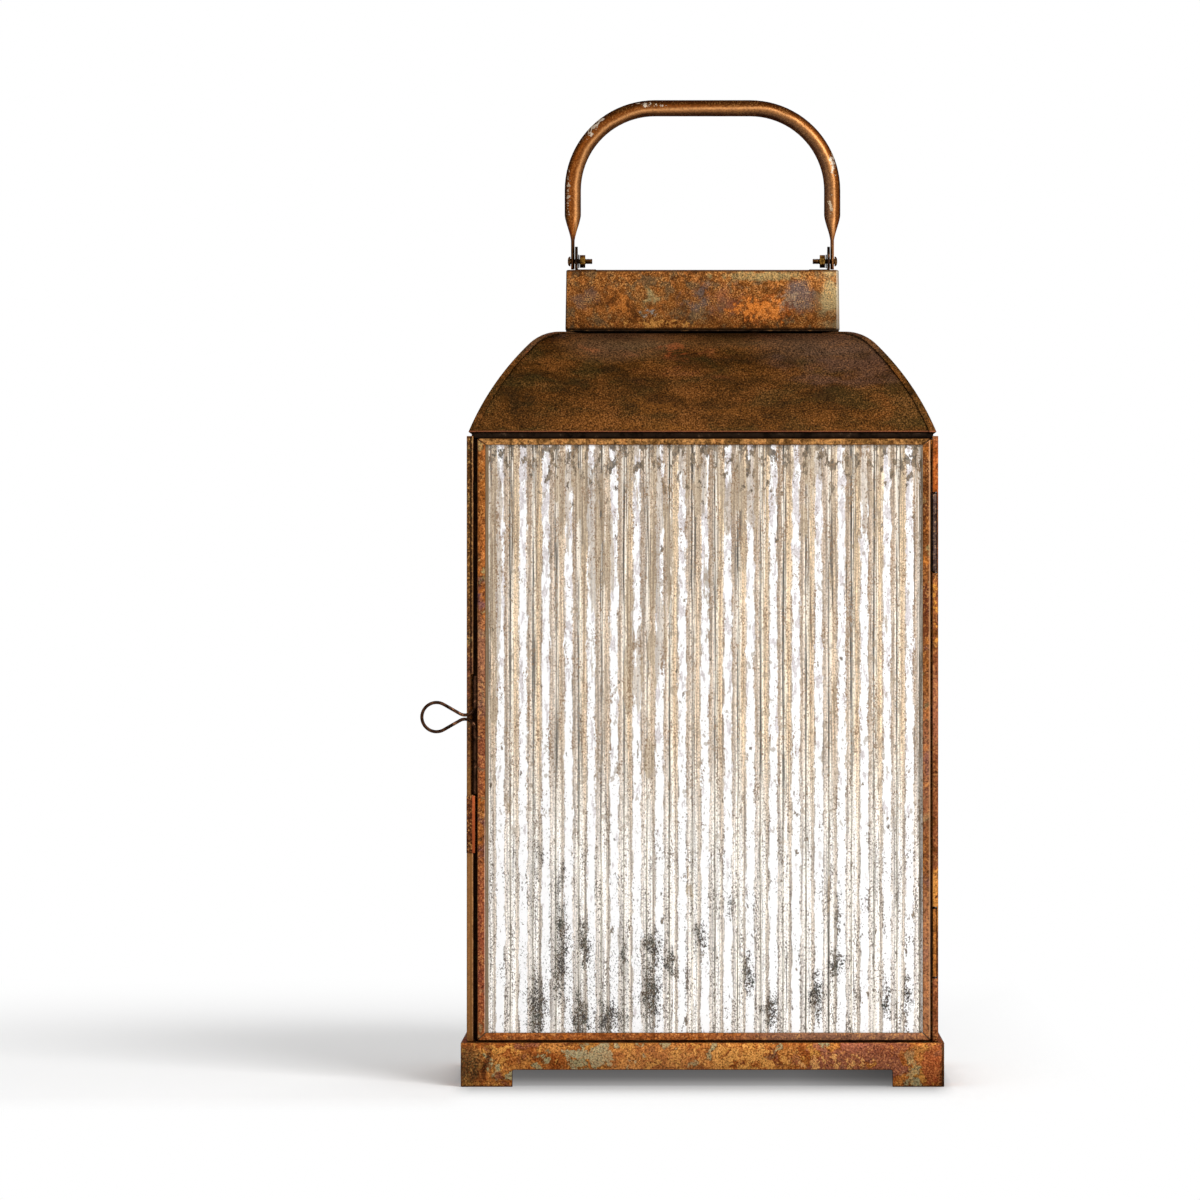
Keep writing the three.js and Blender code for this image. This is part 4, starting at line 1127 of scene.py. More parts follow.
@dataclass
class Latch:
    """Bent wire loop on the door, and the spring clip on the post that it turns behind."""

    wire: Material
    clip: Material
    leg_x: float = -123.0
    middle: float = 174.6  # height of the loop's middle
    radius: float = 0.9  # of the wire
    loop_radius: float = 7.9
    loop_x: float = -143.8
    flare: float = 5.4  # radius of the bend from a leg to the loop
    neck: float = 1.1  # half the gap between the flares
    plane_y: float = -88.2  # of the loop
    leg_y: float = -86.9
    upper_leg: float = 22.2
    lower_leg: float = 41.5
    set_backs: Triple = (1.67, 1.0, 0.33)  # in from the legs' outer side, where they step back
    seam: float = 0.03
    clip_rounding: float = 0.16

    def build(self) -> None:
        """Builds and dresses the wire and the clip."""
        halves = [self.half(leg, up) for leg, up in ((self.upper_leg, 1.0), (self.lower_leg, -1.0))]
        loop = joined("latch_loop", *halves)
        tidy(loop, self.seam * MM)
        back = (self.leg_y - self.plane_y) / len(self.set_backs) * MM
        for inset in self.set_backs:
            with editing(loop):
                choose(loop, lambda points: points[0].x > (self.leg_x - inset - self.radius) * MM)
                bpy.ops.transform.translate(value=(0, back, 0))
        dress(loop, "latch_wire_loop", "door", ("latch_loop",), (self.wire,), 60)
        softened("door_catch", "lantern_body", self.clip, self.clip, self.clip_rounding)

    def half(self, leg: float, up: float) -> Piece:
        """Draws half the wire, from a leg's end round the flare and the loop to its far side.

        Args:
            leg: Length of the leg from the loop's middle in millimetres.
            up: 1 for the upper half, -1 for the lower.

        Returns:
            The half, with one closed end.
        """
        flare_x, flare_z = self.leg_x - self.flare, self.neck + self.flare
        span = math.hypot(flare_x - self.loop_x, flare_z)
        lean = math.atan2(flare_z, flare_x - self.loop_x)
        touch = math.degrees(lean + math.acos((self.loop_radius + self.flare) / span))
        start = Vector((self.leg_x, self.plane_y, self.middle + up * leg)) * MM
        wire = disc(self.radius * MM, 14, "NGON", start)
        with editing(wire, whole=True):
            extrude((0, 0, up * (flare_z - leg) * MM))
            flare = Vector((flare_x, self.plane_y, self.middle + up * flare_z)) * MM
            spin(flare, (0, 1, 0), up * (180 - touch), 14)
            bend_end = Vector((flare_x, 0, flare_z)) + self.flare * self.heading(touch - 180)
            run = Vector((self.loop_x, 0, 0)) + self.loop_radius * self.heading(touch) - bend_end
            extrude((run.x * MM, 0, up * run.z * MM))
            loop = Vector((self.loop_x, self.plane_y, self.middle)) * MM
            spin(loop, (0, 1, 0), -up * (180 - touch), 16)
            bpy.ops.mesh.delete(type="ONLY_FACE")
        return wire

    @staticmethod
    def heading(degrees: float) -> Vector:
        """Unit vector in X and Z at an angle from X."""
        turn = math.radians(degrees)
        return Vector((math.cos(turn), 0, math.sin(turn)))


@dataclass
class Roof:
    """Curved hip roof of four sheets; the side sheets fold over the hips onto the others."""

    front: Material
    back: Material
    sides: Material
    half_width: float = 125.4
    half_depth: float = 85.6
    eave: float = 328.8
    radii: tuple[float, float] = (148.4, 23.2)
    centres: tuple[tuple[float, float], ...] = ((137.59, 273.21), (48.14, 360.8))  # in from the eave, up
    slopes: tuple[float, float, float] = (68.0, 45.6, 0.0)
    opening: float = 55.94  # in from the eave to the opening
    lip: float = 7.0  # fold turned in at the eave
    lap: float = 3.8  # width of a side sheet's edge over a hip
    over: float = 1.1  # side sheets outside the roof's own face
    run_on: float = 2.0  # degrees that a side sheet is drawn past the eave before it is cut
    sheet: float = 0.8  # thickness
    fold: float = 0.45  # width of the rounding along a fold

    def build(self) -> None:
        """Builds and dresses the four sheets."""
        for side, metal in (("front", self.front), ("back", self.back)):
            facing = Facing[side.upper()]
            panel = self.strip(self.half_depth, self.half_width, 0.0, self.lip)
            for end in (1.0, -1.0):
                slice_off(panel, Vector((end * self.half_width, -self.half_depth, 0)) * MM, Vector((end, 1, 0)))
            self.finish(panel, facing, f"roof_{side}", metal)
        for side in ("left", "right"):
            facing = Facing[side.upper()]
            panel = self.strip(self.half_width, self.half_depth, self.over, 0.0)
            flanges = []
            for end in (1.0, -1.0):
                slice_off(panel, Vector((end * self.half_depth, -self.half_width, 0)) * MM, Vector((end, 1, 0)))
                flanges.append(self.flange(end))
            self.finish(joined(side, panel, *flanges), facing, f"roof_{side}", self.sides)

    def strip(self, reach: float, half: float, offset: float, lip: float) -> Piece:
        """Draws one curved layer of sheet facing the front, from the eave to the opening.

        Args:
            reach: Lantern's middle to the eave.
            half: Half the strip's length.
            offset: How far it lies outside the roof's own face.
            lip: Width of the fold turned in at the eave.

        Returns:
            The layer.
        """
        slack = self.run_on if offset else 0.0
        turn = math.radians(self.slopes[0] + slack)
        run, rise = self.centres[0]
        reach_out = self.radii[0] + offset
        y = -reach + run - reach_out * math.sin(turn)
        z = rise + reach_out * math.cos(turn)
        ends = [Vector((x, y + lip, z)) * MM for x in (-half - offset * 3, half + offset * 3)]
        layer = thread_line(*ends)
        with editing(layer, whole=True):
            if lip:
                extrude((0, -lip * MM, 0))
            for number, steps in ((0, 26), (1, 18)):
                centre = Vector((0, -reach + self.centres[number][0], self.centres[number][1])) * MM
                drop = self.slopes[number] - self.slopes[number + 1] + (slack if number == 0 else 0)
                spin(centre, (1, 0, 0), -drop, steps)
            extrude((0, (self.opening - self.centres[1][0]) * MM, 0))
        if offset:
            slice_off(layer, Vector((0, 0, self.eave * MM)), Vector((0, 0, -1)))
        return layer

    def flange(self, end: float) -> Piece:
        """Draws the edge of a side sheet that folds over a hip, seen with that side in front.

        Args:
            end: 1 or -1, the end of the side sheet.

        Returns:
            The edge.
        """
        layer = self.strip(self.half_depth, self.half_width, self.over, 0.0)
        corner = Vector((-end * self.half_width, -self.half_depth, 0)) * MM
        outward = Vector((-end, 1, 0))
        slice_off(layer, corner, outward)
        slice_off(layer, corner + Vector((end * self.lap * MM, 0, 0)), -outward)
        settle(layer, Matrix.Rotation(math.radians(90 * end), 4, "Z"))
        return layer

    def finish(self, panel: Piece, facing: Facing, node: str, metal: Material) -> None:
        """Folds, thickens, turns and dresses one sheet.

        Args:
            panel: The sheet's outer layer, seen with its side in front.
            facing: Its side.
            node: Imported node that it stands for.
            metal: Its material.
        """
        tidy(panel, SEAM)
        limit = math.radians(40)
        modify(panel, "BEVEL", width=self.fold * MM, segments=3, limit_method="ANGLE", angle_limit=limit)
        with editing(panel, whole=True):
            bpy.ops.mesh.normals_make_consistent(inside=False)
        crown = max(panel.data.polygons, key=lambda face: face.center.z)
        if crown.normal.z < 0:
            panel.data.flip_normals()
        modify(panel, "SOLIDIFY", thickness=self.sheet * MM, offset=-1.0, use_even_offset=True)
        settle(panel, facing.turn())
        dress(panel, f"{node}_sheet", "lantern_body", (node,), (metal,), 40)


@dataclass
class Chimney:
    """Tapered box with vents in its top, on a collar over the roof's opening."""

    faces: Material
    plain: Material
    edge: Material
    collar: Material
    front_depth: float = 4.0  # mm behind its front edge that still count as the front

    def build(self) -> None:
        """Builds and dresses the chimney and the collar. All but the chimney's front is plain."""
        box = softened("chimney", "lantern_body", self.faces, self.edge, 0.22)
        box.data.materials.append(self.plain)
        front = min(vert.co.y for vert in box.data.vertices) + self.front_depth * MM
        with editing(box, "FACE"):
            choose(box, lambda points: max(point.y for point in points) > front, "faces")
            box.active_material_index = 2
            bpy.ops.object.material_slot_assign()
        softened("roof_collar", "lantern_body", self.collar, self.collar, 0.2)


@dataclass
class BailPivot:
    """Bracket, threaded screw, washer and nut at one end of the bail. Sizes in millimetres."""

    side: str
    steel: Material
    brass: Material
    bronzed: Material
    pivot: float = 425.5
    tip: float = 61.06
    under_head: float = 73.16
    radius: float = 1.5
    root: float = 1.22
    pitch: float = 0.8
    head: float = 2.7
    head_height: float = 1.5
    dome: tuple[tuple[float, float], ...] = ((0.4, 1.0), (0.45, 0.75), (0.15, 0.3))  # up, then out
    slot_depth: float = 0.7
    slot_half: float = 0.35

    def build(self) -> None:
        """Builds and dresses the four pieces."""
        body = "lantern_body"
        for part, slot, metal, rounding in (
            ("bracket", "bracket_metal", self.steel, 0.2),
            ("washer", "bracket_metal", self.steel, 0.12),
            ("nut", "fastener_brass", self.brass, 0.28),
        ):
            softened(f"{self.side}_{part}", body, metal, metal, rounding)
        node = f"{self.side}_screw"
        dress(self.screw(), f"{node}_threaded", body, (node,), (self.bronzed,), 24)

    def screw(self) -> Piece:
        """Draws the screw out from its tip, thread by thread, and cuts the slot in its head."""
        screw = disc(self.root * MM, 24, "NGON")
        place = Matrix.Translation((self.tip * MM, 0, self.pivot * MM))
        settle(screw, place @ Matrix.Rotation(math.radians(90), 4, "Y"))
        turns = int((self.under_head - self.tip) / self.pitch - 1)
        plain = self.under_head - self.tip - turns * self.pitch
        steps = [(self.pitch / 2, radius) for _ in range(turns) for radius in (self.radius, self.root)]
        steps += [(0.01, self.radius), (plain - 0.01, self.radius), (0.0, self.head)]
        steps += [(up * self.head_height, out * self.head) for up, out in self.dome]
        x, radius = self.tip, self.root
        with editing(screw, whole=True):
            for ahead, new in steps:
                x += ahead
                extrude((ahead * MM, 0, 0))
                resize((1, new / radius, new / radius), Vector((x, 0, self.pivot)) * MM)
                radius = new
        tidy(screw)
        low = Vector((x - self.slot_depth, -self.slot_half, self.pivot - self.head - 0.3)) * MM
        high = Vector((x + 1, self.slot_half, self.pivot + self.head + 0.3)) * MM
        drill(screw, block(low, high))
        if self.side == "left":
            settle(screw, Matrix.Rotation(math.pi, 4, "Z"))
        return screw


@dataclass
class Bail:
    """Round tube bent to a handle, its ends pressed flat and drilled. Sizes in millimetres."""

    metal: Material
    x: float = 71.86
    pivot: float = 425.5
    radius: float = 4.5  # of the tube
    corner: float = 45.5
    rise: float = 84.9  # pivot to the top's middle line
    flat_half: float = 1.0  # half the flat end's thickness
    flat_width: float = 6.2  # half its width at the taper
    end: float = 4.5  # half its width at the pivot, and its rounding below that
    flat_length: float = 11.5
    taper: float = 14.0
    hole: float = 1.58

    def sections(self) -> list[tuple[float, float, float]]:
        """Rise, half thickness and half width of each section, from the tube down to the end."""
        result = []
        for i in range(11, -1, -1):
            share = i / 12
            swell = (share + share * share * (3 - 2 * share)) / 2
            half = self.flat_half + (self.radius - self.flat_half) * swell
            width = self.flat_width + (self.radius - self.flat_width) * swell
            result.append((self.flat_length + self.taper * share, half, width))
        for share in (0.75, 0.5, 0.25, 0.0):
            swell = share * share * (3 - 2 * share)
            width = self.end + (self.flat_width - self.end) * swell
            result.append((self.flat_length * (share + 0.15) / 1.15, self.flat_half, width))
        for turn in (-8, -22, -38, -54, -68, -80):
            angle = math.radians(turn)
            result.append((self.end * math.sin(angle), self.flat_half, self.end * math.cos(angle)))
        return result

    def build(self) -> None:
        """Draws half the tube both ways from the top of its taper, mirrors it and drills it."""
        top_of_taper = self.flat_length + self.taper
        start = Vector((self.x, 0, self.pivot + top_of_taper)) * MM
        bail = disc(self.radius * MM, 32, "NOTHING", start)
        straight = self.rise - self.corner - top_of_taper
        with editing(bail, "EDGE", whole=True):
            extrude((0, 0, straight * MM))
            centre = Vector((self.x - self.corner, 0, self.pivot + self.rise - self.corner)) * MM
            spin(centre, (0, 1, 0), -90, 22)
            extrude(((self.corner - self.x) * MM, 0, 0))
            choose(bail, lambda points: all(abs(p.z - start.z) < WELD for p in points), "edges")
            before = (top_of_taper, self.radius, self.radius)
            for section in self.sections():
                extrude((0, 0, (section[0] - before[0]) * MM))
                middle = Vector((self.x, 0, self.pivot + section[0])) * MM
                resize((section[1] / before[1], section[2] / before[2], 1), middle)
                before = section
            bpy.ops.mesh.edge_face_add()
        modify(bail, "MIRROR", use_axis=(True, False, False), use_clip=True, merge_threshold=SEAM)
        tidy(bail)
        for side in (-1.0, 1.0):
            middle = Vector((side * self.x, 0, self.pivot)) * MM
            reach = Vector((3 * MM, 0, 0))
            drill(bail, cylinder(self.hole * MM, middle - reach, middle + reach, 24))
        dress(bail, "bail_tube", "bail", ("bail",), (self.metal,), 50)


@dataclass
class Studio:
    """Pale floor, soft lamps, white surroundings and a level camera. Sizes in metres."""

    ground: float = -0.0251
    eye: Triple = (0.0, -3.591, 0.2379)
    lens: float = 194.4
    shift: float = -0.0854
    ambient: float = 0.52
    near: float = 0.3  # from the lantern's middle, where the floor starts to turn white
    far: float = 1.0
    # Greys of the painted shadow on the floor, from just before the lantern (0) to under its back (1)
    shade: Stops = (
        (0.0, "#ffffff"), (0.1, "#fafafa"), (0.2, "#eeeeee"), (0.29, "#d9d9d9"), (0.39, "#bbbbbb"),
        (0.48, "#b3b3b3"), (0.58, "#a4a4a4"), (0.68, "#8a8a8a"), (0.79, "#767676"), (1.0, "#6c6c6c"),
    )

    def build(self) -> None:
        """Sets up the floor, the world, the lamps and the camera."""
        bpy.context.scene.view_settings.view_transform = "Standard"
        self.build_floor()
        self.build_world()
        self.build_lamp("key_softbox", Vector((1.5, -2.3, 2.3)), 1.6, 76.0)
        self.build_lamp("fill_softbox", Vector((-2.2, -2.4, 1.2)), 1.8, 16.0)
        self.build_lamp("back_softbox", Vector((0.4, 2.6, 2.0)), 1.8, 26.0)
        self.build_camera()

    def whitened(self, tree: Tree) -> Socket:
        """A socket that is 1 for rays from the camera, and in reflections and glass."""
        seen = 0.0
        for kind in ("Camera", "Glossy", "Transmission"):
            ray = tree.add("LightPath", out=f"Is {kind} Ray")
            seen = tree.add("Math", (seen, ray), operation="MAXIMUM")
        return seen

    def build_floor(self) -> None:
        """Lays a floor of pale matt paper that turns white away from the lantern and keeps its shadow, with a painted
        grey shadow under and just before the lantern.
        """
        bpy.ops.object.select_all(action="DESELECT")
        bpy.ops.mesh.primitive_grid_add(x_subdivisions=8, y_subdivisions=8, size=40, location=(0, 0, self.ground))
        floor = bpy.context.active_object
        floor.name = "studio_floor"
        settle(floor)
        tree = Tree(bpy.data.materials.new("matt_paper_floor"))
        place = tree.add("TexCoord", out="Object")
        across, line = (tree.add("SeparateXYZ", (place,), axis) for axis in ("X", "Y"))
        away = tree.add("VectorMath", (place,), operation="LENGTH")
        fade = tree.add("MapRange", (away, self.near, self.far), interpolation_type="SMOOTHSTEP")
        for span in ((line, -0.16, -0.26), (across, 0.136, 0.22)):
            fade = tree.add("Math", (fade, tree.add("MapRange", span)), operation="MAXIMUM")
        seen = self.whitened(tree)
        mask = tree.add("Math", (fade, seen), operation="MULTIPLY")
        matt = tree.add("BsdfDiffuse", ("#f6f6f6",))
        white = tree.add("Emission", ("#ffffff", 1.0))
        mixed = tree.add("MixShader", (mask, matt, white))
        # Painted shadow: a grey glow under and just before the lantern, seen by the camera and in reflections,
        # darkest beneath it and darker towards the right foot
        grey = tree.add("ValToRGB", (tree.add("MapRange", (line, -0.19, 0.03)),), stops=self.shade)
        side = tree.add("Math", (across,), operation="ABSOLUTE")
        under = tree.add("MapRange", (side, 0.136, 0.124, 0.0, 0.75))
        for share in (tree.add("MapRange", (line, 0.092, 0.086)), seen):
            under = tree.add("Math", (under, share), operation="MULTIPLY")
        near = tree.add("MapRange", (across, 0.05, 0.11, 0.0, 0.55))
        deep = tree.add("MapRange", (line, -0.105, -0.075))
        dim = tree.add("Math", (near, deep), operation="MULTIPLY")
        dim = tree.add("Math", (1.0, dim), operation="SUBTRACT")
        mixed = tree.add("MixShader", (under, mixed, tree.add("Emission", (grey, dim))))
        tree.add("OutputMaterial", (mixed,))
        floor.data.materials.append(tree.owner)

    def build_world(self) -> None:
        """Lights all round softly, and shows white to the camera and in reflections."""
        tree = Tree(bpy.data.worlds.new("studio_surroundings"))
        bpy.context.scene.world = tree.owner
        dim, white = (tree.add("Background", ("#ffffff", strength)) for strength in (self.ambient, 1.0))
        tree.add("OutputWorld", (tree.add("MixShader", (self.whitened(tree), dim, white)),))

    def build_lamp(self, name: str, place: Vector, size: float, power: float) -> None:
        """Hangs one square softbox that faces the lantern.

        Args:
            name: Its name.
            place: Its middle.
            size: Its side.
            power: Its power in watts.
        """
        lamp = bpy.data.lights.new(name, "AREA")
        lamp.size, lamp.energy = size, power
        hung = bpy.data.objects.new(name, lamp)
        bpy.context.scene.collection.objects.link(hung)
        hung.location = place
        hung.rotation_euler = (Vector((0, 0, 0.2)) - place).to_track_quat("-Z", "Y").to_euler()

    def build_camera(self) -> None:
        """Places the camera level with the glass and makes it the scene's own."""
        view = bpy.data.cameras.new("level_camera")
        view.sensor_width, view.lens, view.shift_x = 36.0, self.lens, self.shift
        view.clip_start, view.clip_end = 0.1, 100.0
        camera = bpy.data.objects.new("level_camera", view)
        bpy.context.scene.collection.objects.link(camera)
        camera.location = self.eye
        camera.rotation_euler = (math.radians(90), 0, 0)
        bpy.context.scene.camera = camera


# This lantern's own finishes


class Workshop:
    """The lantern's finishes, made once and handed to its sub-assemblies."""

    def __init__(self) -> None:
        """Makes every metal and glass."""
        self.metals = {name: finish.material() for name, finish in self.finishes().items()}
        self.glass = {side: self.pane(side).material() for side in Facing}

    def finishes(self) -> dict[str, Patina | WornMetal]:
        """Finishes of the metal pieces by name."""
        return self.base() | self.roof() | self.chimney() | self.body() | self.fittings()

    def base(self) -> dict[str, Patina]:
        """Etched steel: ochre and orange rust tones with grey-green islands, each ringed in brown."""
        plain = Patina(
            "etched_ochre_steel",
            ("#7c421a", "#985828", "#ae6e32", "#b67a3c", "#9c5c2c"),
            patch=9.0,
            stains=(
                Stain("#b8803c", 0.54, 8.0, "#6e2e0c", 0.95, 0.011, 0.9),
                Stain("#8e8460", 0.59, 12.0, "#6a4420", 0.8, 0.009),
                Stain("#7c4832", 0.62, 12.0, "#5a2a14", 0.7, 0.014),
            ),
            # The first band is painted shade along the plinth's top edge, under the floor plate and the door
            bands=(Band(2, -1.0, 1.0, "#4a2610", 0.6, 0.3), Band(2, -26.0, -24.5, "#2a1a0e", 0.6, 0.4)),
            speck_strength=0.3,
            pit_strength=0.4,
            contour=0.7,
            contour_shade="#783814",
            contrast=0.52,
            axis=1,
            seed=0.83,
        )
        front = replace(
            plain,
            name="etched_ochre_steel_front",
            axis=0,
            seed=0.31,
            stains=plain.stains
            + (
                Stain("#968a68", 0.46, 9.0, "#7a4a1c", 0.8, 0.008, near=Mark(-56, -9, 44, 14)),
                Stain("#86503e", 0.36, 10.0, "#682f1a", 0.7, 0.012, 0.88, near=Mark(86, -10, 48, 20)),
                Stain("#cc9458", 0.52, 4.0, "#7c4220", 0.7, 0.012, 0.9, near=Mark(70, -13, 60, 14)),
                Stain("#c48a46", 0.44, 6.0, "#7a3a14", 0.8, 0.012, 0.9, near=Mark(24, -11, 46, 16)),
                Stain("#8c4426", 0.38, 8.0, "#5c2812", 0.6, 0.02, 0.85, near=Mark(125, -14, 10, 18)),
                Stain("#a88c5c", 0.42, 6.0, "#6e5030", 0.6, 0.01, 0.9, near=Mark(113, -13, 6, 20, lean=-8)),
                Stain("#2c2010", 0.52, 2.4, "#1c140a", 0.2, 0.03, 0.8, near=Mark(-126, -14, 14, 18)),
            ),
            marks=(
                Mark(-24, -12, 44, 14, "#bc8450", 0.3),
                Mark(-128, -14, 13, 16, "#3e331e", 0.85),
                Mark(-116.5, -12, 2.4, 14, "#3a2010", 0.95, 13),
                Mark(131, -20, 5, 14, "#3c1c0e", 0.8),
                Mark(106, -5, 28, 6, "#62301e", 0.5),
            ),
            bands=plain.bands
            + (Band(0, -133.0, -130.4, "#241609", 0.85, 0.3), Band(0, 129.4, 133.0, "#241609", 0.8, 0.3)),
        )
        return {"base_front": front, "base_side": plain}

    def roof(self) -> dict[str, Patina]:
        """Heat-browned steel: olive and dark brown clouds drawn out level by brushing, warmer low down."""
        front = Patina(
            "heat_browned_steel_front",
            ("#32200d", "#40260c", "#4b2d0f", "#583413", "#643b16"),
            patch=17.0,
            stains=(
                Stain("#352a12", 0.56, 16.0, "#2c2210", 0.2, 0.05, 0.7),
                Stain("#6c3c20", 0.54, 10.0, "#5a3018", 0.2, 0.05, 0.75, near=Mark(-14, 368, 62, 22)),
                Stain("#80441f", 0.56, 8.0, "#5a3018", 0.2, 0.04, 0.8, near=Mark(-58, 375, 22, 10)),
                Stain("#543a2c", 0.42, 12.0, "#4a3028", 0.1, 0.1, 0.8, near=Mark(76, 370, 56, 26)),
                Stain("#8a4420", 0.56, 6.0, "#5a3018", 0.2, 0.05, 0.8, near=Mark(-14, 374, 26, 12)),
                Stain("#6a4018", 0.52, 14.0, "#5c3414", 0.2, 0.05, 0.75, near=Mark(-10, 336, 150, 22)),
            ),
            marks=(
                Mark(0, 334, 180, 14, "#3a2410", 0.28),
                Mark(20, 350, 150, 16, "#3a2410", 0.26),
                Mark(0, 381, 90, 8, "#64462a", 0.4),
                Mark(62, 378, 50, 14, "#68503e", 0.4),
                Mark(-46, 380, 40, 14, "#7c5c42", 0.36),
            ),
            # Painted highlight along the eave's edge
            bands=(Band(2, 328.4, 329.3, "#8a5038", 0.55, 0.25),),
            speck="#8e5e34",
            speck_strength=0.4,
            stretch=(0.55, 1.0, 1.3),
            grain=0.8,
            contrast=0.8,
            bump=0.2,
            seed=1.7,
        )
        back = replace(front, name="heat_browned_steel_back", seed=8.2)
        sides = replace(front, name="heat_browned_steel_sides", stretch=(1.0, 0.55, 1.3), axis=1, seed=9.4)
        return {"roof_front": front, "roof_back": back, "roof_sides": sides}

    def chimney(self) -> dict[str, Patina]:
        """Etched steel: olive-brown at one end, orange and mauve heat tints at the other."""
        front = Patina(
            "etched_orange_steel",
            ("#4e2c12", "#643a16", "#78461c", "#844e20", "#6c3f1a"),
            patch=7.0,
            stains=(
                Stain("#9a5c2a", 0.56, 3.6, "#5e3414", 0.5, 0.03, 0.75),
                Stain("#544630", 0.56, 7.0, "#4a3018", 0.2, 0.04, 0.7),
                Stain("#84503a", 0.5, 9.0, "#5c3424", 0.2, 0.06, 0.6, near=Mark(10, 402, 30, 18)),
                Stain("#5c4a40", 0.42, 8.0, "#4a3028", 0.1, 0.08, 0.6, near=Mark(-64, 404, 16, 10)),
                Stain("#a8642a", 0.5, 4.0, "#7a4018", 0.3, 0.04, 0.8, near=Mark(-46, 402, 16, 13)),
                Stain("#66563e", 0.45, 6.0, "#4a3a28", 0.2, 0.06, 0.7, near=Mark(-4, 396, 22, 9)),
                Stain("#c4722e", 0.44, 3.6, "#8a4418", 0.6, 0.03, 0.95, near=Mark(33, 397, 29, 13)),
                Stain("#b8803e", 0.48, 3.0, "#7a441c", 0.6, 0.02, 0.9, near=Mark(-22, 389, 46, 5)),
                Stain("#8e8058", 0.48, 6.0, "#6a5434", 0.3, 0.05, 0.8, near=Mark(-28, 404, 14, 9, lean=15)),
                Stain("#8a8880", 0.54, 3.0, "#6a5c48", 0.4, 0.03, 0.8, near=Mark(-30, 396, 12, 6)),
                Stain("#5c4e48", 0.5, 7.0, "#4a3a30", 0.2, 0.05, 0.7, near=Mark(0, 404, 24, 14)),
                Stain("#5c4c46", 0.34, 9.0, "#5a4a44", 0.1, 0.1, 0.9, near=Mark(54, 404, 13, 12)),
                Stain("#86705a", 0.54, 2.4, "#5a4a44", 0.2, 0.04, 0.7, near=Mark(50, 402, 22, 14)),
                Stain("#94815a", 0.36, 9.0, "#7c6442", 0.2, 0.09, 0.9, near=Mark(71, 404, 11, 26)),
                Stain("#7c6e48", 0.4, 5.0, "#5c4a2c", 0.2, 0.06, 0.7, near=Mark(30, 416, 46, 4)),
            ),
            bands=(
                Band(2, 418.2, 419.0, "#3c2412", 0.8, 0.3),
                # Painted shade along the bottom, over the gap to the roof, and down the left end; a painted highlight
                # down the right end
                Band(2, 384.0, 387.2, "#2c1a0c", 0.8, 0.3),
                Band(0, -78.0, -74.7, "#241408", 0.85, 0.3),
                Band(0, 73.7, 78.0, "#cfc3ae", 0.45, 0.3),
            ),
            contour=0.3,
            contour_shade="#5a3014",
            grain=0.75,
            contrast=0.48,
            pit_strength=0.6,
            seed=2.9,
        )
        tones = (front.stains[0], front.stains[1], Stain("#685a50", 0.6, 9.0, "#4a3830", 0.2, 0.05, 0.8))
        # The other sides keep the front's top line and its painted shade along the bottom
        plain = replace(front, name="etched_orange_steel_plain", stains=tones, bands=front.bands[:2], seed=5.2)
        return {"chimney": front, "chimney_plain": plain}

    def body(self) -> dict[str, Patina | WornMetal]:
        """Steel of the frames and posts: brown with orange, red-purple and olive heat tints."""
        frame_metal = Patina(
            "heat_tinted_steel",
            ("#5c3416", "#74441e", "#8a5224", "#7e4a24", "#6c3e20"),
            patch=9.0,
            stains=(
                Stain("#86744c", 0.61, 9.0, "#5a3c1e", 0.5),
                Stain("#ac6428", 0.59, 10.0, "#7c4218", 0.4, 0.02),
                Stain("#6e4642", 0.61, 14.0, "#4e2e22", 0.4, 0.03),
            ),
            seed=4.3,
        )
        door_left = replace(
            frame_metal,
            name="heat_tinted_steel_door_left",
            ground=("#74401c", "#8a5024", "#9c5a2c", "#925428", "#80461f"),
            marks=(
                Mark(-120, 300, 8, 34, "#6e4018", 0.6),
                Mark(-120, 200, 8, 42, "#865c48", 0.7),
                Mark(-120, 150, 8, 26, "#7c4438", 0.5),
                Mark(-120, 50, 8, 66, "#8c4632", 0.7),
            ),
            bands=(
                Band(0, -117.6, -116.6, "#7c4824", 0.6, 0.2),
                # A painted highlight along the stile's inner edge up to about 118 mm, and painted shade along its
                # outer edge by the gap to the post
                Band(0, -117.8, -116.8, "#dcbca4", 0.7, 0.2, 118.0),
                Band(0, -122.4, -121.4, "#2c180c", 0.7, 0.2),
            ),
        )
        door_right = replace(
            frame_metal,
            name="heat_tinted_steel_door_right",
            ground=("#6c3c18", "#7c4822", "#8a5228", "#80482a", "#74422a"),
            marks=(
                Mark(120, 300, 8, 46, "#5c3216", 0.55),
                Mark(120, 230, 8, 24, "#602c1c", 0.6),
                Mark(120, 146, 8, 52, "#a86c50", 0.45),
                Mark(120, 40, 8, 66, "#b27854", 0.65),
            ),
            # The first band is a painted highlight along the stile's outer edge
            bands=(Band(0, 122.5, 123.6, "#c79c74", 0.5, 0.2), Band(0, 118.6, 119.3, "#3c2210", 0.6, 0.2)),
        )
        tan = ("#744c28", "#a0703e", "#bc8850", "#ac7642", "#88562c")
        top = replace(
            frame_metal,
            name="heat_tinted_steel_door_top",
            ground=tan,
            patch=5.0,
            stains=(Stain("#5a3c1c", 0.54, 5.0, "#3e2812", 0.5, 0.02, 0.8),),
            contrast=0.42,
        )
        bottom = replace(
            top,
            name="heat_tinted_steel_door_bottom",
            ground=("#6c3816", "#824620", "#98562a", "#8a4a24", "#744022"),
            stains=(Stain("#b06428", 0.58, 5.0, "#6c3414", 0.5, 0.02, 0.8),),
            marks=(Mark(75, 2, 74, 14, "#7e5844", 0.9),),
            contrast=0.4,
        )
        post = replace(
            frame_metal,
            name="olive_browned_steel",
            ground=("#46300f", "#563718", "#62401e", "#5a3a1c", "#4e3218"),
            stains=(Stain("#74442c", 0.58, 14.0, "#4a2e1c", 0.4), Stain("#74643c", 0.62, 9.0, "#4a3c22", 0.5)),
        )
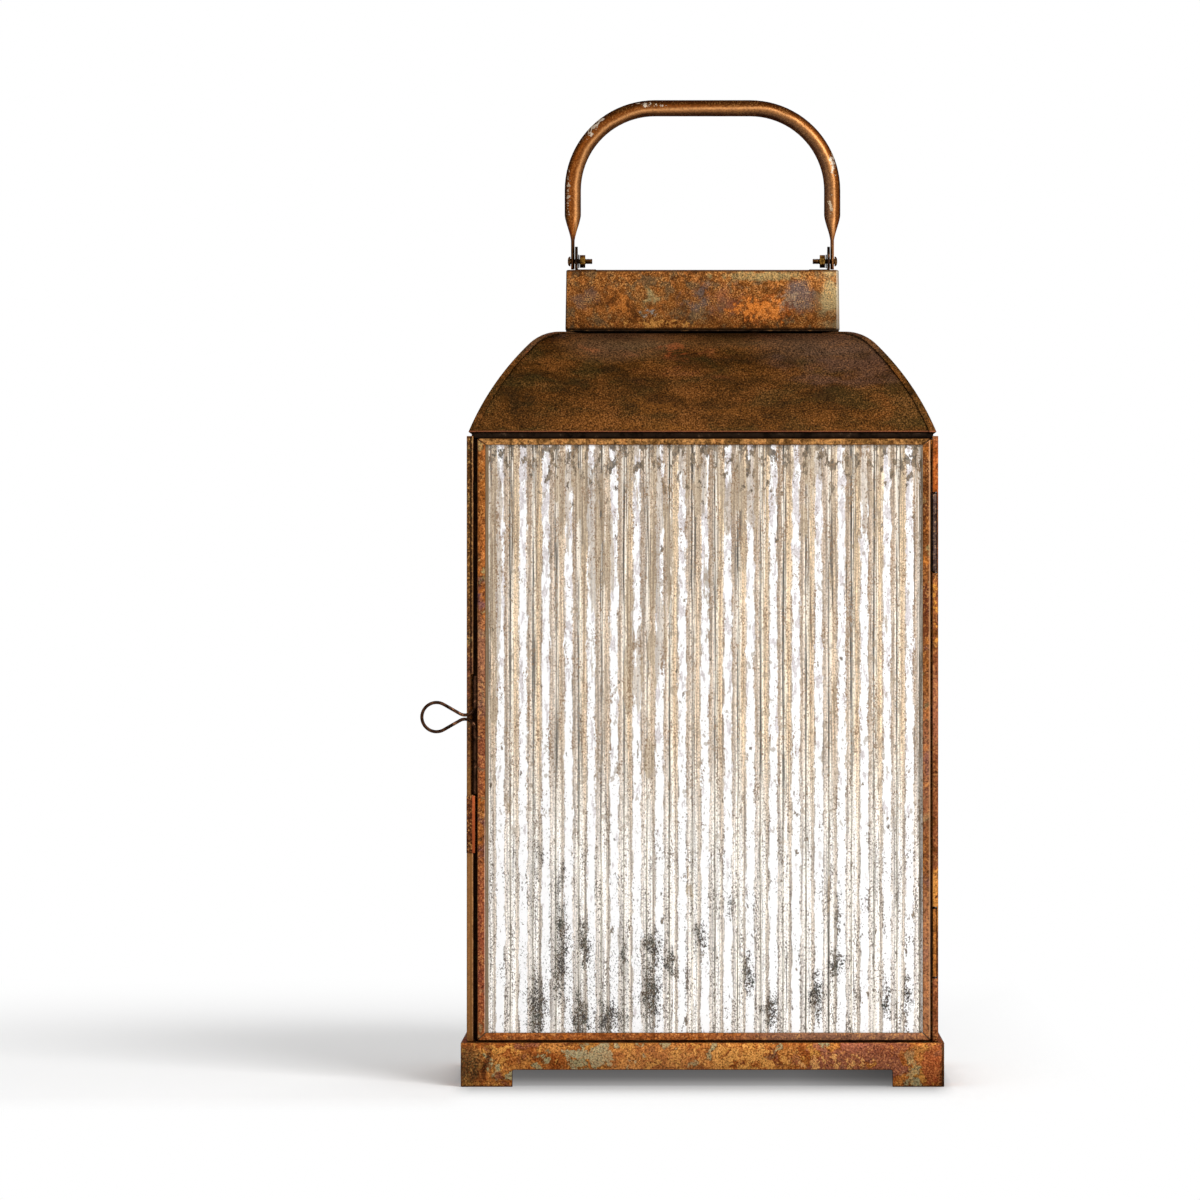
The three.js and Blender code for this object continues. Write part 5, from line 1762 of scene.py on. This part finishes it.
        left = replace(
            post,
            name="olive_browned_steel_left",
            marks=(
                Mark(-126, 300, 5, 50, "#46280f", 0.7),
                Mark(-126, 190, 5, 60, "#64382a", 0.4),
                Mark(-126, 60, 5, 90, "#a06e48", 0.8),
            ),
            bands=(
                # Painted highlight along the post's inner edge
                Band(0, -124.4, -123.9, "#a8805c", 0.45, 0.15),
                Band(0, -125.6, -124.9, "#170c06", 0.85, 0.15),
                Band(0, -127.2, -124.6, "#84592f", 0.75, 0.2, 150.0),
            ),
        )
        right = replace(
            post,
            name="orange_browned_steel_right",
            ground=("#6a3c1a", "#804626", "#945634", "#824a2a", "#6e4024"),
            stains=(
                Stain("#cc8a3c", 0.48, 5.0, "#8a4c1c", 0.4, 0.02, 0.95, near=Mark(126, 235, 6, 34)),
                Stain("#d48e44", 0.38, 6.0, "#8a4c1c", 0.4, 0.02, 0.9, near=Mark(126, 76, 8, 30)),
            ),
            marks=(Mark(125.5, 305, 3, 22, "#b85a1e", 0.75), Mark(126, 180, 5, 30, "#b87454", 0.5)),
            # Painted shade along the post's inner edge, by the gap to the door
            bands=(Band(0, 124.0, 124.7, "#2c180c", 0.6, 0.15),),
        )
        # Seen from the front only through the gap between the post and the door; the near-black band is a painted
        # shade for that gap
        in_gap = replace(
            frame_metal, name="heat_tinted_steel_in_gap", bands=(Band(0, -124.6, -119.0, "#120a06", 0.92, 0.2),)
        )
        return {
            "frame": frame_metal,
            "frame_in_gap": in_gap,
            "door_left": door_left,
            "door_right": door_right,
            "door_top": top,
            "door_bottom": bottom,
            "post": post,
            "left_front_post": left,
            "right_front_post": right,
            "floor": replace(frame_metal, name="browned_steel_floor", patch=24.0, seed=5.5),
            # Ring and collar lie in shadow, and their colour is a painted shade: nearly black with a few brown spots
            "ring": WornMetal("painted_shade_steel", "#241a13", "#120d09", "#4a3a2c", 6.0, 0.5, 0.6),
            "collar": WornMetal("painted_shade_steel_collar", "#2c2016", "#17100b", "#5c4024", 7.0, 0.5),
            # Cut and folded edges, rubbed through to warm bare metal here and there
            "edge": WornMetal("rubbed_steel_edge", "#643c1c", "#2c1a0e", "#96683c", 7.0),
        }

    def fittings(self) -> dict[str, Patina | WornMetal]:
        """The bail's tube, browned, with pale scuffs, a painted highlight streak and painted shade, and the small
        steel, wire and brass pieces.
        """
        bail = TubeWithPaintedHighlight(
            "browned_tube_painted_highlight",
            ("#6e4a22", "#8e6028"),
            patch=12.0,
            stains=(
                Stain("#c8b8a4", 0.45, 2.2, "#7c5a38", 0.3, 0.014, 0.9, near=Mark(72, 480, 2.6, 13, lean=-6)),
                Stain("#bca88e", 0.45, 2.2, "#7c5a38", 0.3, 0.014, 0.85, near=Mark(71, 457, 2.4, 9)),
                Stain("#b8aa98", 0.49, 2.0, "#5c4632", 0.4, 0.014, 0.85, near=Mark(-60, 500, 5, 20, lean=40)),
                Stain("#b8aa98", 0.49, 2.0, "#5c4632", 0.4, 0.014, 0.85, near=Mark(-30, 512, 16, 3)),
                Stain("#a89680", 0.5, 1.8, "#5c4632", 0.4, 0.014, 0.8, near=Mark(-74, 462, 2, 30)),
                Stain("#46301c", 0.4, 6.0, "#2c1a0e", 0.3, 0.04, 0.8, near=Mark(-72, 430, 10, 12)),
            ),
            roughness=0.44,
            grain=0.8,
            contrast=0.2,
            pit_strength=0.25,
            speck_strength=0.2,
            bump=0.1,
            seed=6.1,
        )
        # Pressed hinge leaves: dull and brown, in shadow towards the pin
        leaf = Patina(
            "grey_brown_steel",
            ("#3c2a26", "#54403a", "#66524a", "#54403a"),
            patch=4.0,
            bands=(Band(0, 120.0, 124.5, "#0e0a08", 0.95, 0.1),),
            seed=3.3,
        )
        lower = replace(leaf, name="orange_brown_steel", ground=("#7a4a24", "#985c2a", "#b06c30", "#8c5228"))
        return {
            "bail": bail,
            "hinge_upper": leaf,
            "hinge_lower": lower,
            # Drawn wire, dark with a brighter line where the door's hand has worn it
            "wire": WornMetal("dark_spring_wire", "#3c261a", "#1a0f08", "#8a5e42", 4.0, 0.38),
            # Spring steel bent while hot, which reddened it; the bright red strip down its right half is a painted
            # highlight
            "clip": Patina(
                "reddened_spring_steel",
                ("#3c1e10", "#502a16", "#5e3018", "#44220f"),
                patch=4.0,
                bands=(Band(0, -124.4, -123.1, "#a04e2a", 0.8, 0.25),),
                seed=1.1,
            ),
            # Black from the forge, rubbed brown on its edges
            "bracket": WornMetal("blackened_bracket_steel", "#2a1c14", "#120c08", "#6a4a32", 3.0, 0.5),
            # Turned nuts gone dull, and bronzed screws bright at the rims
            "brass": WornMetal("tarnished_brass", "#765420", "#32210e", "#b08a46", 2.0, 0.34),
            "screw": WornMetal("bronzed_steel", "#624426", "#26180d", "#966e40", 1.6, 0.38),
        }

    @staticmethod
    def marks(rows: tuple[tuple[float, ...], ...], strength: float = 1.0) -> tuple[Mark, ...]:
        """Marks of one strength, from rows of across, up and half sizes."""
        return tuple(Mark(*row, strength=strength) for row in rows)

    def pane(self, side: Facing) -> MercuryGlass:
        """The silvered glass of one side.

        Args:
            side: The side.

        Returns:
            The finish: the door's own smears and veils, and fewer ones on the other panes.
        """
        if side is not Facing.FRONT:
            smears = (
                (-58, 12, 4.5, 14), (-36, 60, 3, 20), (-22, 22, 6, 16), (8, 12, 7, 10), (15, 44, 3, 14),
                (33, 26, 4, 12), (47, 60, 3, 12), (61, 18, 5, 12), (-70, 96, 3, 12),
            )
            return MercuryGlass(
                f"silvered_reeded_glass_{side.name.lower()}",
                0 if side is Facing.BACK else 1,
                0.0 if side is Facing.BACK else -0.5,
                self.marks(smears),
                self.marks(((-20, 260, 40, 90), (50, 300, 20, 50))),
                turned=side in (Facing.BACK, Facing.LEFT),
                seed=1.0 + side.value / 90,
            )
        smears = (
            (-90, 18, 8, 30), (-77, 40, 7.5, 28), (-77, 62, 5, 20), (-64, 50, 5.5, 20), (-66, 11, 7.5, 23),
            (-50, 12, 15, 14), (-27, 47, 7.5, 18), (-28, 24, 9.5, 30), (-17.3, 41.8, 5, 12), (-43, 46, 4, 9),
            (-0.6, 55, 4.4, 12), (24.6, 35.4, 6, 15), (35.8, 15.6, 6, 11), (62, 23.7, 7, 16),
            (72.7, 41.7, 6, 12), (99.3, 20.6, 5.6, 14), (110.5, 27, 4.2, 11),
        )
        faint = ((-89, 97, 4, 14), (-77, 88, 3.5, 18), (14.6, 69.6, 3.4, 8), (74, 66, 2, 30), (-112, 318, 7, 5))
        gritty = ((-64, 30, 52, 48),)
        veils = (
            (-57, 255, 12, 80), (-36, 225, 9, 110), (-22, 250, 10, 95), (-70, 300, 14, 40), (12, 300, 34, 34),
            (-112, 240, 8, 130), (60, 310, 40, 18),
        )
        drips = ((-40, 196, 5.5, 30), (-28.5, 150, 5.5, 20), (-28, 212, 5, 14))
        return MercuryGlass(
            "silvered_reeded_glass_front",
            0,
            1.675,
            self.marks(smears) + self.marks(faint, 0.6) + self.marks(gritty, 0.12),
            self.marks(veils) + self.marks(drips, 2.2),
            brighter=1.1,
            edges=((-116.1, -115.3, 0.92), (119.0, 116.5, 0.5)),
        )


def frames(metals: dict[str, Material], glass: dict[Facing, Material]) -> list[GlazedFrame]:
    """Lists the door and the three fixed frames.

    Args:
        metals: The metals by name.
        glass: The panes' glass by side.

    Returns:
        The frames, the door first.
    """
    edge, plain = metals["edge"], (metals["frame"],) * 4
    own = tuple(metals[f"door_{side}"] for side in ("left", "right", "bottom", "top"))
    front = Facing.FRONT
    door = GlazedFrame("door", front, 86.0, -120.8, 122.35, 1.675, own, edge, glass[front], "door", "door_metal", 0.8)
    result = [door]
    for facing, reach, left, right, crown, first in (
        (Facing.BACK, 84.9, -125.4, 125.4, 0.0, "frame"),
        (Facing.LEFT, 125.4, -78.6, 79.6, 0.5, "frame_in_gap"),
        (Facing.RIGHT, 125.4, -79.6, 78.6, -0.5, "frame"),
    ):
        name, channels = f"{facing.name.lower()}_frame", (metals[first], *plain[1:])
        result.append(GlazedFrame(name, facing, reach, left, right, crown, channels, edge, glass[facing]))
    return result


def main() -> None:
    """Builds the lantern and its studio."""
    Studio().build()
    shop = Workshop()
    metals = shop.metals
    parts = [
        Plinth(metals),
        Carcass(metals),
        *frames(metals, shop.glass),
        *(Hinge(place, metals[f"hinge_{place}"], metals["bracket"]) for place in ("upper", "lower")),
        Latch(metals["wire"], metals["clip"]),
        Roof(metals["roof_front"], metals["roof_back"], metals["roof_sides"]),
        Chimney(metals["chimney"], metals["chimney_plain"], metals["edge"], metals["collar"]),
        *(BailPivot(side, metals["bracket"], metals["brass"], metals["screw"]) for side in ("left", "right")),
        Bail(metals["bail"]),
    ]
    for part in parts:
        part.build()


if __name__ == "__main__":
    main()
